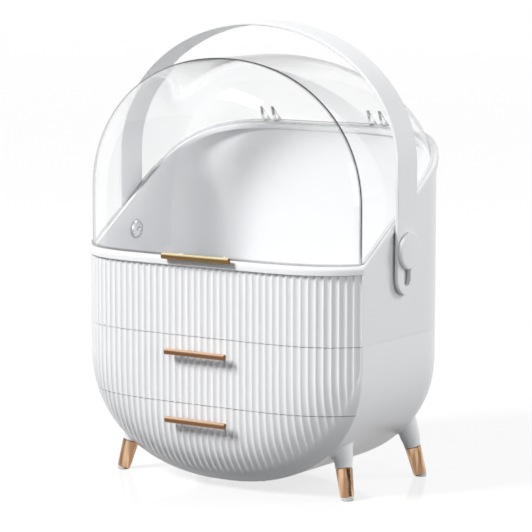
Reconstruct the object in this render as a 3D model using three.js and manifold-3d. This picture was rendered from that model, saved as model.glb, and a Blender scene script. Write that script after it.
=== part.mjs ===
// Dustproof makeup organizer: a round-bottomed casing on four splayed legs, two ribbed drawers,
// an open tray above them, a clear hinged lid, and a carry handle that swings back and lifts.
// Millimetres, +Z up. The pieces are laid out from the front crease of the casing, where Y is zero
// and the bowed fronts start, with the front towards -Y and the floor at Z zero. The last lines
// move everything so that the origin lies on the floor under the middle of the whole object.

import * as THREE from "three";
import { mergeVertices } from "three/addons/utils/BufferGeometryUtils.js";
import Module from "manifold-3d";

const wasm = await Module();
wasm.setup();

// Clearances that all pieces share
const touchGap = 0.3;
const runGap = 0.4;
const overrun = 6;

// Outer form of the casing and of the bowed fronts
const bodyHalfWidth = 134.7;
const bodyDepth = 151;
const rearRadius = 50;
const bowDepth = 32.6;
const bowPower = 5.84;
const roundCentreZ = 107;
const bodyBottomZ = 6.6;
const roundPower = 2.2;
const creaseEdge = 1.2;
const casingWall = 2.6;
const roundSteps = 20;
const rearSteps = 4;
const bottomStartAngle = THREE.MathUtils.degToRad(8);

// Upright flutes on the bowed fronts, with narrow ribs between. They end before the round edge.
const ribCount = 46;
const ribDepth = 1.5;
const ridgeShare = 0.14;
const flutePlaceShares = [0, 0.5, 1];
const fluteDepthShares = [0, 1, 0];
const plainEdge = 7;
const plainGrowthShare = 0.06;
const ribFadeWidth = 13;
const ribFadeShare = 0.45;

// Seams between the pieces of the front
const traySeamZ = 129.4;
const drawerSeamZ = 73.4;
const seamGap = 0.5;

// Upper tray and its sloping rim
const trayFloor = 2.6;
const rimFrontZ = 194;
const rimHeight = 7;
const rimSlope = 0.644;
const rimOverhang = 1.8;
const rimPlate = 3.4;
const rimLedge = 4;

// Divider shelf and its ledges in the casing
const shelfThickness = 2.5;
const shelfSetback = 3;
const ledgeReach = 11;
const ledgeHeight = 2.5;
const guideWidth = 2;
const guideHeight = 6;

// Drawers
const frontWall = 3;
const trayWall = 2;
const drawerSideRoom = 19.7;
const drawerRearGap = 4;
const drawerTopDrop = 3.5;
const troughSideRoom = 26.7;
const troughRise = 4.9;
const troughFlatRise = 9.6;
const runnerPlace = 36;
const runnerHalfWidth = 3;

// Bar handles of the drawers and of the lid
const barLength = 59;
const lidBarLength = 66;
const barDepth = 4.4;
const barHeight = 5;
const barStandOff = 5.5;
const barRound = 1.8;
const postPlace = 21;
const postRadius = 2.1;
const upperBarDrop = 12.8;
const lowerBarDrop = 13.2;
const lidBarLift = 0.8;
const bracketRise = 1.9;

// Small fasteners
const barScrewShank = 1.1;
const barScrewHead = 2.3;
const barScrewHeadHeight = 1.5;
const screwShank = 1.7;
const screwHead = 3.6;
const screwHeadHeight = 2.2;
const roundHeadShare = 0.6;

// Clear lid
const lidSideSetback = 1.2;
const lidCentreZ = 240;
const lidHeadroom = 63.3;
const lidPower = 2.08;
const lidRearPower = 2.8;
const squaringPower = 3;
const lidBow = 30;
const lidRearReach = 1;
const lidRearRadius = 50;
const lidTopRadius = 75;
const lidWall = 2.2;
const lidFlange = 1.4;
const lidFlangeHeight = 3.4;
const archSteps = 24;
const lidRearSteps = 6;

// Hinges at the back of the lid
const hingePlace = 54;
const hingeStandOff = 7;
const hingeDrop = 2.2;
const eyeRadius = 3.8;
const hingePinRadius = 1.6;
const knuckleHalfWidth = 4;
const lugThickness = 3;
const webDrop = 13;
const lugRise = 17;
const lugForward = 11;

// Carry handle and its pivots
const handleSideGap = 2.3;
const handleArchLift = 30;
const gripRoom = 24.9;
const handleThickness = 3;
const handleBreadth = 30;
const handleSteps = 40;
const handleY = 60;
const pivotDrop = 32;
const slotWidth = 10.3;
const slotTravel = 23.4;
const armEndDrop = 36.1;
const knobRadius = 15.3;
const knobThickness = 3.7;
const knobRound = 1.3;
const knobShaft = 4.8;
const washerRadius = 10;
const pivotScrewHead = 8;
const pivotScrewHeadHeight = 2.4;
const pivotScrewShank = 2;
const pivotScrewLength = 5.2;

// Legs, counted along their own leaning axis from the floor
const footSideSetback = 21.7;
const frontFootY = 13.7;
const rearFootSetback = 21;
const splay = 0.228;
const rake = 0.144;
const padRadius = 5.1;
const padTop = 1.9;
const tipLow = 2.2;
const tipHigh = 28.6;
const tipLowRadius = 5.6;
const tipHighRadius = 6.95;
const tipWall = 1.4;
const tipFloor = 1.6;
const socketHighRadius = 9.4;
const socketReach = 35;
const bossRadius = 6;
const flareHeight = 8.4;
const bossHeight = 5.7;
const bossCollar = 1.2;
const legScrewLength = 13;

// Screws that hold the tray on the casing
const casingBossSideSetback = 6.7;
const casingBossFrontY = 15;
const casingBossRearSetback = 9;
const casingBossRadius = 5;
const casingBossDepth = 26;
const casingScrewLength = 15;

// Finishes
const finishes = {
  white: { color: 0xf0f0f1, roughness: 0.32, metalness: 0 },
  clear: { color: 0xf4f6f7, roughness: 0.05, metalness: 0, transparent: true, opacity: 0.3 },
  roseGold: { color: 0xc9956a, roughness: 0.3, metalness: 1 },
  gold: { color: 0xdcb36a, roughness: 0.28, metalness: 1 },
  steel: { color: 0xb9bcc0, roughness: 0.35, metalness: 1 },
  pad: { color: 0xd9dadb, roughness: 0.8, metalness: 0 },
};

// Sizes worked out from the ones above
const roundDrop = roundCentreZ - bodyBottomZ;
const straightEndY = bodyDepth - rearRadius;
const trayLowZ = traySeamZ + seamGap / 2;
const casingTopZ = trayLowZ - touchGap;
const trayFloorTopZ = trayLowZ + trayFloor;
const rimTopSpan = bodyDepth * rimSlope;
const highZ = rimFrontZ + rimTopSpan + overrun;
const frontFace = -bowDepth;
const drawerHalfWidth = bodyHalfWidth - drawerSideRoom;
const troughHalfWidth = bodyHalfWidth - troughSideRoom;
const troughBottomZ = bodyBottomZ + troughRise;
const troughFlatZ = bodyBottomZ + troughFlatRise;
const lidBarZ = rimFrontZ + lidBarLift;
const lidHalfWidth = bodyHalfWidth - lidSideSetback;
const lidDepth = bodyDepth + lidRearReach;
const lidTopZ = rimFrontZ + rimTopSpan + lidHeadroom;
const lidRise = lidTopZ - lidCentreZ;
const hingeY = bodyDepth + hingeStandOff;
const hingeZ = rimFrontZ + rimTopSpan - hingeDrop;
const pivotZ = rimFrontZ + handleY * rimSlope - pivotDrop;
const handleInnerHalfWidth = bodyHalfWidth + handleSideGap;
const handleHalfWidth = handleInnerHalfWidth + handleThickness;
const handleArchZ = lidCentreZ + handleArchLift;
const handleArchRise = lidTopZ + gripRoom + handleThickness - handleArchZ;
const footHalfSpan = bodyHalfWidth - footSideSetback;
const rearFootY = bodyDepth - rearFootSetback;
const casingBossPlace = bodyHalfWidth - casingBossSideSetback;
const casingBossRearY = straightEndY - casingBossRearSetback;

// Solids: from points and faces, from three.js geometry, and back again

function solidFrom(points, faces) {
  let volume = 0;
  const cross = new THREE.Vector3();
  for (let i = 0; i < faces.length; i += 3) {
    cross.crossVectors(points[faces[i + 1]], points[faces[i + 2]]);
    volume += points[faces[i]].dot(cross);
  }
  const turned = volume < 0 ? faces.toReversed() : faces;
  const geometry = new THREE.BufferGeometry().setFromPoints(points);
  geometry.setIndex(turned);
  return toSolid(geometry);
}

function toSolid(geometry) {
  const bare = geometry.clone();
  bare.deleteAttribute("normal");
  bare.deleteAttribute("uv");
  const merged = mergeVertices(bare);
  const vertProperties = Float32Array.from(merged.attributes.position.array);
  const triVerts = Uint32Array.from(merged.index.array);
  return new wasm.Manifold(new wasm.Mesh({ numProp: 3, vertProperties, triVerts }));
}

function toGeometry(solid) {
  const mesh = solid.getMesh();
  const geometry = new THREE.BufferGeometry();
  geometry.setAttribute("position", new THREE.BufferAttribute(mesh.vertProperties, 3));
  geometry.setIndex(new THREE.BufferAttribute(mesh.triVerts, 1));
  geometry.computeVertexNormals();
  return geometry;
}

const join = (...solids) => solids.reduce((sum, solid) => sum.add(solid));
const cut = (solid, ...tools) => tools.reduce((rest, tool) => rest.subtract(tool), solid);
const common = (...solids) => solids.reduce((sum, solid) => sum.intersect(solid));

// Closed body through rings of equally many points, with the first and last ring filled
function loft(rings) {
  const count = rings[0].length;
  const points = rings.flat();
  const faces = [];
  for (let ring = 0; ring + 1 < rings.length; ring++) {
    for (let i = 0; i < count; i++) {
      const here = ring * count + i;
      const next = ring * count + ((i + 1) % count);
      faces.push(here, next, next + count, here, next + count, here + count);
    }
  }
  const last = (rings.length - 1) * count;
  for (const [start, flip] of [[0, true], [last, false]]) {
    for (let i = 1; i + 1 < count; i++) {
      const fan = [start, start + i, start + i + 1];
      faces.push(...(flip ? fan.reverse() : fan));
    }
  }
  return solidFrom(points, faces);
}

// Block between two corners
function block(x0, x1, y0, y1, z0, z1) {
  const geometry = new THREE.BoxGeometry(x1 - x0, y1 - y0, z1 - z0);
  geometry.translate((x0 + x1) / 2, (y0 + y1) / 2, (z0 + z1) / 2);
  return toSolid(geometry);
}

// Turn that lays a drawing of Y and Z, extruded along Z, into place along X
const sideways = new THREE.Matrix4().makeBasis(
  new THREE.Vector3(0, 1, 0),
  new THREE.Vector3(0, 0, 1),
  new THREE.Vector3(1, 0, 0),
);

// Prism of a side profile, drawn as Y and Z, along X
function sidePrism(profile, x0, x1) {
  const shape = new THREE.Shape(profile.map(([y, z]) => new THREE.Vector2(y, z)));
  const geometry = new THREE.ExtrudeGeometry(shape, { depth: x1 - x0, bevelEnabled: false });
  geometry.applyMatrix4(sideways);
  geometry.translate(x0, 0, 0);
  return toSolid(geometry);
}

// Prism of a front profile, drawn as X and Z, along Y
function frontPrism(profile, y0, y1) {
  const shape = new THREE.Shape(profile.map(([x, z]) => new THREE.Vector2(x, z)));
  const geometry = new THREE.ExtrudeGeometry(shape, { depth: y1 - y0, bevelEnabled: false });
  geometry.rotateX(Math.PI / 2);
  geometry.translate(0, y1, 0);
  return toSolid(geometry);
}

// Turned body about Z from its half profile of radius and height
function turned(profile, sides = 20) {
  const points = profile.map(([radius, height]) => new THREE.Vector2(radius, height));
  const geometry = new THREE.LatheGeometry(points, sides);
  geometry.rotateX(Math.PI / 2);
  return geometry;
}

function rod(radius, low, high, sides = 12) {
  return turned([[0, low], [radius, low], [radius, high], [0, high]], sides);
}

// Screw about Z: its head stands above seat and its shank hangs below
function screw(shank, head, headHeight, length, seat = 0) {
  const profile = [
    [0, seat - length],
    [shank, seat - length],
    [shank, seat],
    [head, seat],
    [head, seat + headHeight * roundHeadShare],
    [head * roundHeadShare, seat + headHeight],
    [0, seat + headHeight],
  ];
  return turned(profile, 8);
}

// Turn a body that stands along Z so that it points back along +Y, or out along X on one side
const alongDepth = (geometry) => geometry.rotateX(-Math.PI / 2);
const alongSide = (geometry, side) => geometry.rotateY((side * Math.PI) / 2);
const spanOf = (near, far) => [near, far].sort((a, b) => a - b);

// Outline of the casing seen from the front, closed across its top
function casingOutline(halfWidth, drop, top) {
  const outline = [[halfWidth, top]];
  for (let i = 0; i <= roundSteps; i++) {
    const angle = Math.PI / 2 - (i / roundSteps) * Math.PI;
    const across = Math.sign(Math.sin(angle)) * Math.abs(Math.sin(angle)) ** (2 / roundPower);
    const down = Math.abs(Math.cos(angle)) ** (2 / roundPower);
    outline.push([halfWidth * across, roundCentreZ - drop * down]);
  }
  outline.push([-halfWidth, top]);
  return outline;
}

// Casing form moved inwards by inset, from a front plane to its rounded rear
function casingForm(inset, front, top) {
  const radius = rearRadius - inset;
  const stations = [[front, 0]];
  for (let i = 0; i <= rearSteps; i++) {
    const angle = ((i / rearSteps) * Math.PI) / 2;
    stations.push([straightEndY + radius * Math.sin(angle), radius * (1 - Math.cos(angle))]);
  }
  const rings = stations.map(([y, turnIn]) => {
    const shrink = inset + turnIn;
    const outline = casingOutline(bodyHalfWidth - shrink, roundDrop - shrink, top);
    return outline.map(([x, z]) => new THREE.Vector3(x, y, z));
  });
  return loft(rings);
}

// Depth of the bow at a place given as shares of the half width and of the round's drop
function bowAt(acrossShare, downShare, depth) {
  const reach = (acrossShare ** roundPower + downShare ** roundPower) ** (1 / roundPower);
  return depth * (1 - Math.min(1, reach) ** bowPower);
}

// Place of the bowed face, moved inwards by inset, at a point of the front
function faceY(x, z, inset) {
  const acrossShare = Math.abs(x) / (bodyHalfWidth - inset);
  const downShare = Math.max(0, roundCentreZ - z) / (roundDrop - inset);
  return -bowAt(acrossShare, downShare, bowDepth - inset - creaseEdge) - creaseEdge;
}

// Places across the front, as shares of the half width, with 1 on a groove's bottom and 0 elsewhere.
// The ribs are spaced evenly along the bowed line, so it is first measured in short steps.
function ribColumns() {
  const steps = 400;
  const line = [[0, 0]];
  for (let i = 1; i <= steps; i++) {
    const [before, length] = line[i - 1];
    const share = i / steps;
    const rise = bowAt(share, 0, bowDepth) - bowAt(before, 0, bowDepth);
    line.push([share, length + Math.hypot(bodyHalfWidth / steps, rise)]);
  }
  const shareAt = (length) => {
    const end = line.findIndex((entry) => entry[1] >= length);
    const [lowShare, lowLength] = line[end - 1];
    const [highShare, highLength] = line[end];
    return lowShare + ((highShare - lowShare) * (length - lowLength)) / (highLength - lowLength);
  };
  const signedShare = (length) => Math.sign(length) * (length === 0 ? 0 : shareAt(Math.abs(length)));
  const columns = [[-1, 0]];
  const lineLength = line[steps][1];
  const ribPitch = (2 * lineLength) / ribCount;
  for (let rib = 0; rib < ribCount; rib++) {
    const grooveStart = (rib + ridgeShare / 2) * ribPitch - lineLength;
    const grooveEnd = (rib + 1 - ridgeShare / 2) * ribPitch - lineLength;
    flutePlaceShares.forEach((placeShare, i) => {
      const place = grooveStart + (grooveEnd - grooveStart) * placeShare;
      columns.push([signedShare(place), fluteDepthShares[i]]);
    });
  }
  columns.push([1, 0]);
  return columns;
}

function plainColumns() {
  const steps = 18;
  const columns = [];
  for (let i = 0; i <= steps; i++) {
    const angle = (i / steps) * Math.PI;
    columns.push([-Math.cos(angle), 0]);
  }
  return columns;
}

// Heights at which the front's outline is drawn, lowest first
function frontRows(inset, low, high) {
  const drop = roundDrop - inset;
  const rows = [];
  const steps = 8;
  for (let i = 0; i <= steps; i++) {
    const angle = bottomStartAngle + (i / steps) * (Math.PI / 2 - bottomStartAngle);
    rows.push(roundCentreZ - drop * Math.cos(angle) ** (2 / roundPower));
  }
  const lowest = Math.max(low, rows[0]);
  const inside = rows.filter((z) => z > lowest + overrun / 4 && z < high - overrun / 4);
  return [lowest, ...inside, high];
}

// Width of the round edge's plain margin, which grows as the front narrows towards the bottom
function plainMargin(fullWidth, halfWidth) {
  return plainEdge + plainGrowthShare * (fullWidth - halfWidth);
}

// Place of a column of the ribs at one height. It runs straight down as far as the round edge's plain
// margin, where the columns beyond it are drawn together.
function columnPlace(share, fullWidth, halfWidth) {
  const kept = Math.max(0, halfWidth - plainMargin(fullWidth, halfWidth));
  const straight = Math.abs(share) * fullWidth;
  if (straight <= kept || halfWidth === fullWidth) {
    return straight;
  }
  return kept + ((straight - kept) * (halfWidth - kept)) / (fullWidth - kept);
}

// Share of the flutes' depth, 1 on the face and 0 on the plain margin
function fluteFade(place, fullWidth, halfWidth, downShare, drop) {
  const lowShare = Math.min(1, downShare / ribFadeShare);
  if (lowShare === 0) {
    return 1;
  }
  const reach = ((place / fullWidth) ** roundPower + downShare ** roundPower) ** (1 / roundPower);
  const fromEdge = Math.min(halfWidth - place, (1 - reach) * drop);
  const margin = plainMargin(fullWidth, halfWidth) * lowShare;
  const fade = (fromEdge - margin) / (ribFadeWidth * lowShare);
  return Math.min(1, Math.max(0, fade));
}

// Bowed block between two heights, flat at its back, with or without the ribs
function frontBlock({ inset = 0, back = 0, low, high, ribbed = false }) {
  const columns = ribbed ? ribColumns() : plainColumns();
  const rows = frontRows(inset, low, high);
  const drop = roundDrop - inset;
  const depth = bowDepth - inset - creaseEdge;
  const points = [];
  for (const z of rows) {
    const downShare = Math.min(1, Math.max(0, roundCentreZ - z) / drop);
    const fullWidth = bodyHalfWidth - inset;
    const halfWidth = fullWidth * (1 - downShare ** roundPower) ** (1 / roundPower);
    for (const [share, groove] of columns) {
      const even = Math.abs(share) * halfWidth;
      const place = ribbed ? columnPlace(share, fullWidth, halfWidth) : even;
      const fade = ribbed ? fluteFade(place, fullWidth, halfWidth, downShare, drop) : 0;
      const bow = bowAt(place / fullWidth, downShare, depth) + creaseEdge - groove * fade * ribDepth;
      points.push(new THREE.Vector3(Math.sign(share) * place, -bow, z));
    }
  }
  const count = columns.length;
  const faces = [];
  for (let row = 0; row + 1 < rows.length; row++) {
    for (let i = 0; i + 1 < count; i++) {
      const here = row * count + i;
      faces.push(here, here + 1, here + count + 1, here, here + count + 1, here + count);
    }
  }
  const backStart = points.length;
  for (let row = 0; row < rows.length; row++) {
    const left = points[row * count];
    const right = points[row * count + count - 1];
    points.push(new THREE.Vector3(left.x, back, left.z), new THREE.Vector3(right.x, back, right.z));
  }
  for (let row = 0; row + 1 < rows.length; row++) {
    const left = backStart + row * 2;
    const frontLeft = row * count;
    const frontRight = frontLeft + count - 1;
    faces.push(left, left + 2, left + 3, left, left + 3, left + 1);
    faces.push(left, frontLeft, frontLeft + count, left, frontLeft + count, left + 2);
    faces.push(frontRight, left + 1, left + 3, frontRight, left + 3, frontRight + count);
  }
  for (const row of [0, rows.length - 1]) {
    const loop = [];
    for (let i = 0; i < count; i++) {
      loop.push(row * count + i);
    }
    loop.push(backStart + row * 2 + 1, backStart + row * 2);
    const flat = loop.map((index) => new THREE.Vector2(points[index].x, points[index].y));
    for (const [a, b, c] of THREE.ShapeUtils.triangulateShape(flat, [])) {
      const triangle = [loop[a], loop[b], loop[c]];
      faces.push(...(row === 0 ? triangle.reverse() : triangle));
    }
  }
  return solidFrom(points, faces);
}

// Lid form moved inwards by inset: a bowed front, a straight middle, and a rear that rounds down.
// The front is drawn as arches at these shares of its reach. Towards the rear the arch gets squarer.
const flatShare = 0.5;
const bowShares = [0.72, 0.86, 0.95];

function lidForm(inset, low) {
  const halfWidth = lidHalfWidth - inset;
  const rise = lidRise - inset;
  const bow = lidBow - inset;
  const depth = lidDepth - inset;
  const topRadius = lidTopRadius - inset;
  const sideRadius = lidRearRadius - inset;
  const ring = (y, reach, side, drop, power) => {
    const wide = (halfWidth - side) * reach;
    const tall = (rise - drop) * reach;
    const points = [new THREE.Vector3(wide, y, low)];
    for (let i = 0; i <= archSteps; i++) {
      const angle = (i / archSteps) * Math.PI;
      const across = Math.sign(Math.cos(angle)) * Math.abs(Math.cos(angle)) ** (2 / power);
      const up = Math.sin(angle) ** (2 / power);
      points.push(new THREE.Vector3(wide * across, y, lidCentreZ + tall * up));
    }
    points.push(new THREE.Vector3(-wide, y, low));
    return points;
  };
  const rings = [ring(-bow, flatShare, 0, 0, lidPower)];
  for (const reachShare of bowShares) {
    rings.push(ring(-bow * (1 - reachShare ** bowPower), reachShare, 0, 0, lidPower));
  }
  const turnStart = depth - topRadius;
  const sideStart = depth - sideRadius;
  rings.push(ring(0, 1, 0, 0, lidPower));
  for (let i = 0; i <= lidRearSteps; i++) {
    const angle = ((i / lidRearSteps) * Math.PI) / 2;
    const y = turnStart + topRadius * Math.sin(angle);
    const drop = topRadius * (1 - Math.cos(angle));
    const past = Math.min(sideRadius, Math.max(0, y - sideStart));
    const side = sideRadius - Math.sqrt(sideRadius ** 2 - past ** 2);
    const power = lidPower + (lidRearPower - lidPower) * (y / lidDepth) ** squaringPower;
    rings.push(ring(y, 1, side, drop, power));
  }
  return loft(rings);
}

// Side profile of a slanted band: level in front of the crease, sloping up behind it
function slopeBand(low, high) {
  const front = frontFace - overrun * 2;
  const rear = bodyDepth + overrun * 2;
  return [
    [front, low],
    [0, low],
    [rear, low + rear * rimSlope],
    [rear, high + rear * rimSlope],
    [0, high],
    [front, high],
  ];
}

const wideSpan = handleHalfWidth + overrun;
const bandPrism = (low, high) => sidePrism(slopeBand(low, high), -wideSpan, wideSpan);

// Eye of a hinge with a profile that leads from it to the piece that carries it
function hingeEye(webPoints, x0, x1) {
  const eye = rod(eyeRadius, x0, x1);
  eye.rotateY(Math.PI / 2);
  eye.translate(0, hingeY, hingeZ);
  return join(toSolid(eye), sidePrism(webPoints, x0, x1));
}

function hingeBore() {
  const bore = rod(hingePinRadius + touchGap, -wideSpan, wideSpan);
  bore.rotateY(Math.PI / 2);
  bore.translate(0, hingeY, hingeZ);
  return toSolid(bore);
}

// Places of the legs, which lean inwards and towards each other, and of the tray's screws

const sides = [["left", -1], ["right", 1]];
const legs = [];

// Distance up a leg's axis to the place where it enters the casing
function entryHeight(place) {
  const inCasing = (height) => {
    const point = new THREE.Vector3(0, 0, height).applyMatrix4(place);
    const past = Math.max(0, point.y - straightEndY);
    const turnIn = rearRadius - Math.sqrt(rearRadius ** 2 - past ** 2);
    const acrossShare = Math.abs(point.x) / (bodyHalfWidth - turnIn);
    const downShare = (roundCentreZ - point.z) / (roundDrop - turnIn);
    return acrossShare ** roundPower + downShare ** roundPower < 1;
  };
  let outside = 0;
  let within = roundCentreZ;
  for (let halving = 0; halving < 30; halving++) {
    const middle = (outside + within) / 2;
    if (inCasing(middle)) {
      within = middle;
    } else {
      outside = middle;
    }
  }
  return within;
}

for (const [end, footY, lean] of [["front", frontFootY, rake], ["rear", rearFootY, -rake]]) {
  for (const [name, side] of sides) {
    const up = new THREE.Vector3(-side * splay, lean, 1).normalize();
    const turn = new THREE.Quaternion().setFromUnitVectors(new THREE.Vector3(0, 0, 1), up);
    const place = new THREE.Matrix4().makeRotationFromQuaternion(turn);
    place.setPosition(side * footHalfSpan, footY, 0);
    legs.push({ name: `${end}_${name}`, place, bossTop: entryHeight(place) + bossHeight });
  }
}
const onLeg = (geometry, leg) => geometry.applyMatrix4(leg.place);

const casingBosses = [];
for (const [end, y] of [["front", casingBossFrontY], ["rear", casingBossRearY]]) {
  for (const [name, side] of sides) {
    casingBosses.push({ name: `${end}_${name}`, x: side * casingBossPlace, y });
  }
}
const atBoss = (geometry, boss) => geometry.translate(boss.x, boss.y, 0);

// Lower casing: U-shaped shell with a closed rear, ledges, runners and screw bosses
function lowerCasing() {
  const outer = casingForm(0, runGap, casingTopZ);
  const within = casingForm(casingWall / 2, runGap, casingTopZ);
  const shell = cut(outer, casingForm(casingWall, -overrun, casingTopZ + overrun));
  const shelfLow = drawerSeamZ - shelfThickness + touchGap;
  const ledgeInner = bodyHalfWidth - casingWall - ledgeReach;
  const pieces = [shell];
  for (const side of [-1, 1]) {
    const ledgeX = spanOf(side * ledgeInner, side * bodyHalfWidth);
    const ledgeZ = [shelfLow - touchGap - ledgeHeight, shelfLow - touchGap];
    pieces.push(common(within, block(...ledgeX, shelfSetback, straightEndY, ...ledgeZ)));
    const runnerX = [side * runnerPlace - runnerHalfWidth, side * runnerPlace + runnerHalfWidth];
    const runnerZ = [bodyBottomZ, troughFlatZ - touchGap];
    pieces.push(common(within, block(...runnerX, shelfSetback, straightEndY, ...runnerZ)));
  }
  for (const leg of legs) {
    const boss = rod(bossRadius, tipHigh, leg.bossTop + bossCollar);
    pieces.push(common(within, toSolid(onLeg(boss, leg))));
  }
  for (const boss of casingBosses) {
    const post = rod(casingBossRadius, casingTopZ - casingBossDepth, casingTopZ);
    pieces.push(common(within, toSolid(atBoss(post, boss))));
  }
  const holes = [];
  for (const leg of legs) {
    const bore = rod(screwShank + touchGap, tipHigh, leg.bossTop + overrun);
    const seat = rod(screwHead + touchGap, leg.bossTop, leg.bossTop + screwHeadHeight + overrun);
    holes.push(toSolid(onLeg(bore, leg)), toSolid(onLeg(seat, leg)));
  }
  for (const boss of casingBosses) {
    const depth = casingScrewLength + touchGap * 2;
    const hole = rod(screwShank + touchGap, casingTopZ - depth, highZ);
    holes.push(toSolid(atBoss(hole, boss)));
  }
  return cut(join(...pieces), ...holes);
}

function dividerShelf() {
  const low = drawerSeamZ - shelfThickness + touchGap;
  const high = drawerSeamZ + touchGap;
  const inside = casingForm(casingWall + touchGap, shelfSetback, highZ);
  const plate = common(inside, block(-wideSpan, wideSpan, 0, bodyDepth, low, high));
  const guides = [-1, 1].map((side) => {
    const near = side * (drawerHalfWidth + runGap * 2);
    const far = near + side * guideWidth;
    return block(...spanOf(near, far), shelfSetback, straightEndY, low, high + guideHeight);
  });
  return join(plate, ...guides);
}

// Upper tray: ribbed front, side and rear walls up to a sloping rim, a floor, and hinge knuckles
function upperTray() {
  const low = trayLowZ;
  const underRimZ = rimFrontZ - rimPlate;
  const wallSpan = block(-wideSpan, wideSpan, -overrun, lidDepth, low, highZ);
  const walls = common(
    join(
      common(casingForm(0, 0, highZ), wallSpan),
      frontBlock({ back: overrun / 2, low, high: underRimZ, ribbed: true }),
    ),
    bandPrism(-bodyDepth, rimFrontZ - rimPlate / 2),
  );
  const rimSpan = block(-wideSpan, wideSpan, -overrun, bodyDepth * 2, low, highZ);
  const rim = common(
    join(
      common(casingForm(-rimOverhang, 0, highZ), rimSpan),
      frontBlock({ inset: -rimOverhang, back: overrun / 2, low, high: highZ }),
    ),
    bandPrism(rimFrontZ - rimHeight, rimFrontZ),
  );
  const room = join(
    casingForm(casingWall, 0, highZ),
    frontBlock({ inset: frontWall, back: overrun / 2, low, high: highZ }),
  );
  const aboveFloor = block(-wideSpan, wideSpan, frontFace * 2, bodyDepth * 2, trayFloorTopZ, highZ * 2);
  const cavity = common(room, aboveFloor, bandPrism(-bodyDepth, underRimZ));
  const mouthBand = bandPrism(underRimZ - rimPlate, highZ);
  const mouth = common(lidForm(rimLedge, trayFloorTopZ), room, mouthBand);
  const holes = casingBosses.map((boss) => {
    const hole = rod(screwShank + touchGap, low - overrun, trayFloorTopZ + overrun);
    return toSolid(atBoss(hole, boss));
  });
  for (const side of [-1, 1]) {
    const bore = alongSide(rod(knobShaft + touchGap, 0, wideSpan), side);
    holes.push(toSolid(bore.translate(0, handleY, pivotZ)));
  }
  const rearFace = bodyDepth - casingWall / 2;
  const knuckleWeb = [
    [rearFace, hingeZ - webDrop],
    [hingeY + eyeRadius, hingeZ],
    [hingeY, hingeZ + eyeRadius],
    [rearFace, hingeZ],
  ];
  const knuckles = [-hingePlace, hingePlace].map((middle) =>
    hingeEye(knuckleWeb, middle - knuckleHalfWidth, middle + knuckleHalfWidth));
  const tray = cut(join(walls, rim), cavity, mouth);
  return cut(join(tray, ...knuckles), ...holes, hingeBore());
}

// Drawer fronts: bowed shells with a flange at the back and a window for the drawer tray

const drawers = {
  drawer_1: {
    low: drawerSeamZ + seamGap / 2,
    high: traySeamZ - seamGap / 2,
    barZ: traySeamZ - upperBarDrop,
  },
  drawer_2: {
    low: bodyBottomZ,
    high: drawerSeamZ - seamGap / 2,
    barZ: drawerSeamZ - lowerBarDrop,
  },
};

// Solid form of a drawer tray; grow is positive for the window around it, negative for its hollow
function drawerForm(name, grow, top) {
  const frontInset = frontWall + touchGap - grow;
  const half = drawerHalfWidth + grow;
  const inside = casingForm(casingWall + drawerRearGap - grow, 0, highZ);
  const bowed = frontBlock({ inset: frontInset, back: overrun / 2, low: 0, high: highZ });
  const body = join(inside, bowed);
  if (name === "drawer_1") {
    const floorZ = drawerSeamZ + touchGap * 2 - grow;
    return common(body, block(-half, half, frontFace * 2, bodyDepth, floorZ, top));
  }
  const trough = casingOutline(troughHalfWidth + grow, roundCentreZ - troughBottomZ + grow, highZ);
  const flat = block(-half, half, frontFace * 2, bodyDepth, troughFlatZ - grow, top);
  return common(body, frontPrism(trough, frontFace * 2, bodyDepth), flat);
}

function barHoles(barZ, radius) {
  return [-1, 1].map((side) => {
    const hole = alongDepth(rod(radius, 0, bowDepth));
    return toSolid(hole.translate(side * postPlace, frontFace - overrun, barZ));
  });
}

function drawerFront(name) {
  const { low, high, barZ } = drawers[name];
  const face = frontBlock({ low, high, ribbed: true });
  const shelfBelow = low > bodyBottomZ ? low + frontWall : low;
  const pocket = common(
    frontBlock({ inset: frontWall, low: shelfBelow, high: high - frontWall }),
    block(-wideSpan, wideSpan, frontFace * 2, -frontWall, low, high - frontWall),
  );
  const window = drawerForm(name, touchGap, highZ);
  return cut(face, pocket, window, ...barHoles(barZ, barScrewShank + touchGap));
}

function drawerTray(name) {
  const { high, barZ } = drawers[name];
  const top = high - drawerTopDrop;
  const form = drawerForm(name, 0, top);
  const hollow = drawerForm(name, -trayWall, top + overrun);
  return cut(form, hollow, ...barHoles(barZ, barScrewShank + touchGap));
}

// Bar handle: a rounded bar on two posts, with blind holes for its screws
function barHandle(length, barZ, face, holeZ, makePost) {
  const shape = new THREE.Shape();
  const y0 = -barDepth / 2;
  const z0 = -barHeight / 2;
  shape.moveTo(y0 + barRound, z0);
  shape.lineTo(-y0 - barRound, z0);
  shape.quadraticCurveTo(-y0, z0, -y0, z0 + barRound);
  shape.lineTo(-y0, -z0 - barRound);
  shape.quadraticCurveTo(-y0, -z0, -y0 - barRound, -z0);
  shape.lineTo(y0 + barRound, -z0);
  shape.quadraticCurveTo(y0, -z0, y0, -z0 - barRound);
  shape.lineTo(y0, z0 + barRound);
  shape.quadraticCurveTo(y0, z0, y0 + barRound, z0);
  const bar = new THREE.ExtrudeGeometry(shape, { depth: length, bevelEnabled: false, curveSegments: 2 });
  bar.translate(0, 0, -length / 2);
  bar.applyMatrix4(sideways);
  const barY = face - barStandOff - barDepth / 2;
  bar.translate(0, barY, barZ);
  const pieces = [toSolid(bar)];
  const holes = [];
  for (const side of [-1, 1]) {
    pieces.push(makePost(side * postPlace, barZ, face, barY));
    const hole = rod(barScrewShank + touchGap, -overrun, barStandOff, 12);
    hole.rotateX(Math.PI / 2);
    hole.translate(side * postPlace, face, holeZ);
    holes.push(toSolid(hole));
  }
  return cut(join(...pieces), ...holes);
}

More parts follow.
